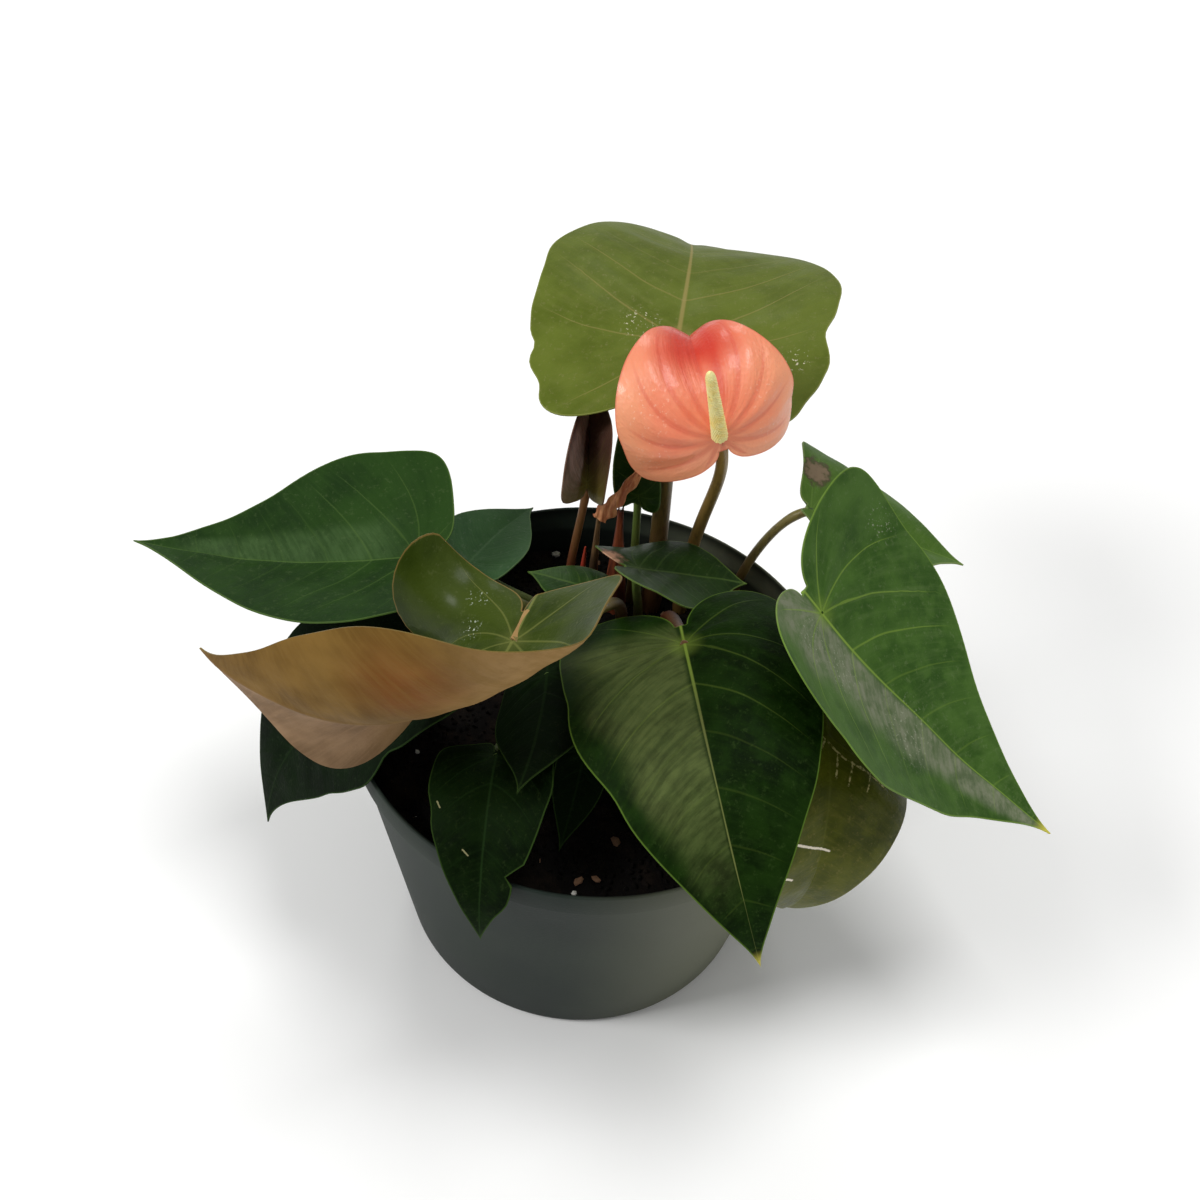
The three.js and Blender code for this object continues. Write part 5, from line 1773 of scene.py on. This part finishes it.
def add_camera(settings):
    """The camera circles a point on the pot's axis near the rim, and is rolled a little."""
    level = math.cos(CAMERA_PITCH)
    forward = Vector((math.sin(CAMERA_YAW) * level, math.cos(CAMERA_YAW) * level, -math.sin(CAMERA_PITCH)))
    right = forward.cross(Vector((0, 0, 1))).normalized()
    up = right.cross(forward)
    roll = Matrix.Rotation(-CAMERA_ROLL, 3, forward)
    right, up = roll @ right, roll @ up
    lens = bpy.data.cameras.new("camera")
    lens.lens = settings.lens
    lens.sensor_width = 36
    camera = link(bpy.data.objects.new("camera", lens))
    turn = Matrix((right, up, -forward)).transposed().to_4x4()
    place = Vector((0, -settings.distance * math.cos(CAMERA_TILT),
                    AIM_HEIGHT + settings.distance * math.sin(CAMERA_TILT)))
    camera.matrix_world = Matrix.Translation(place) @ turn
    bpy.context.scene.camera = camera


# Operators, panel and registration


class FLAMINGO_OT_pot(bpy.types.Operator):
    """Make the grower's pot with its rim band and drain holes"""

    bl_idname = "flamingo_flower.pot"
    bl_label = "Make the pot"

    def execute(self, context):
        make_pot(context.scene.flamingo_pot)
        return {"FINISHED"}


class FLAMINGO_OT_soil(bpy.types.Operator):
    """Make the soil with its crumbs, bark chips and perlite"""

    bl_idname = "flamingo_flower.soil"
    bl_label = "Make the soil"

    def execute(self, context):
        make_soil(context.scene.flamingo_soil, context.scene.flamingo_pot)
        return {"FINISHED"}


class FLAMINGO_OT_leaves(bpy.types.Operator):
    """Make the leaf blades with their veins"""

    bl_idname = "flamingo_flower.leaves"
    bl_label = "Make the leaves"

    def execute(self, context):
        make_leaves(context.scene.flamingo_leaves)
        return {"FINISHED"}


class FLAMINGO_OT_stalks(bpy.types.Operator):
    """Make a stem for each leaf"""

    bl_idname = "flamingo_flower.stalks"
    bl_label = "Make the stems"

    def execute(self, context):
        make_stalks()
        return {"FINISHED"}


class FLAMINGO_OT_sheaths(bpy.types.Operator):
    """Make the dry sheaths, the red shoot and the dry bract"""

    bl_idname = "flamingo_flower.sheaths"
    bl_label = "Make the sheaths"

    def execute(self, context):
        make_sheaths()
        return {"FINISHED"}


class FLAMINGO_OT_flower(bpy.types.Operator):
    """Make the spathe, the spadix and the flower stem"""

    bl_idname = "flamingo_flower.flower"
    bl_label = "Make the flower"

    def execute(self, context):
        make_flower(context.scene.flamingo_flower, context.scene.flamingo_leaves)
        return {"FINISHED"}


class FLAMINGO_OT_stage(bpy.types.Operator):
    """Make the floor, the lights and the camera"""

    bl_idname = "flamingo_flower.stage"
    bl_label = "Make the stage"

    def execute(self, context):
        make_stage(context.scene.flamingo_stage)
        return {"FINISHED"}


OPERATORS = (FLAMINGO_OT_pot, FLAMINGO_OT_soil, FLAMINGO_OT_leaves, FLAMINGO_OT_stalks, FLAMINGO_OT_sheaths,
             FLAMINGO_OT_flower, FLAMINGO_OT_stage)
SETTINGS = {
    "flamingo_pot": PotSettings,
    "flamingo_soil": SoilSettings,
    "flamingo_leaves": LeafSettings,
    "flamingo_flower": FlowerSettings,
    "flamingo_stage": StageSettings,
}


class FLAMINGO_PT_panel(bpy.types.Panel):
    """Lists the pieces and their sizes and colours"""

    bl_label = "Flamingo flower"
    bl_idname = "FLAMINGO_PT_panel"
    bl_space_type = "VIEW_3D"
    bl_region_type = "UI"
    bl_category = "Flamingo flower"

    def draw(self, context):
        for operator in OPERATORS:
            self.layout.operator(operator.bl_idname)
        for name in SETTINGS:
            box = self.layout.box()
            for key in getattr(context.scene, name).bl_rna.properties.keys():
                if key not in ("name", "rna_type"):
                    box.prop(getattr(context.scene, name), key)


def register():
    for made in (*SETTINGS.values(), *OPERATORS, FLAMINGO_PT_panel):
        bpy.utils.register_class(made)
    for name, settings in SETTINGS.items():
        setattr(bpy.types.Scene, name, bpy.props.PointerProperty(type=settings))


def unregister():
    for name in SETTINGS:
        delattr(bpy.types.Scene, name)
    for made in (FLAMINGO_PT_panel, *reversed(OPERATORS), *reversed(SETTINGS.values())):
        bpy.utils.unregister_class(made)


def main():
    """Registers the add-on and makes every piece."""
    register()
    for step in ("pot", "soil", "leaves", "stalks", "sheaths", "flower", "stage"):
        getattr(bpy.ops.flamingo_flower, step)()


if __name__ == "__main__":
    main()
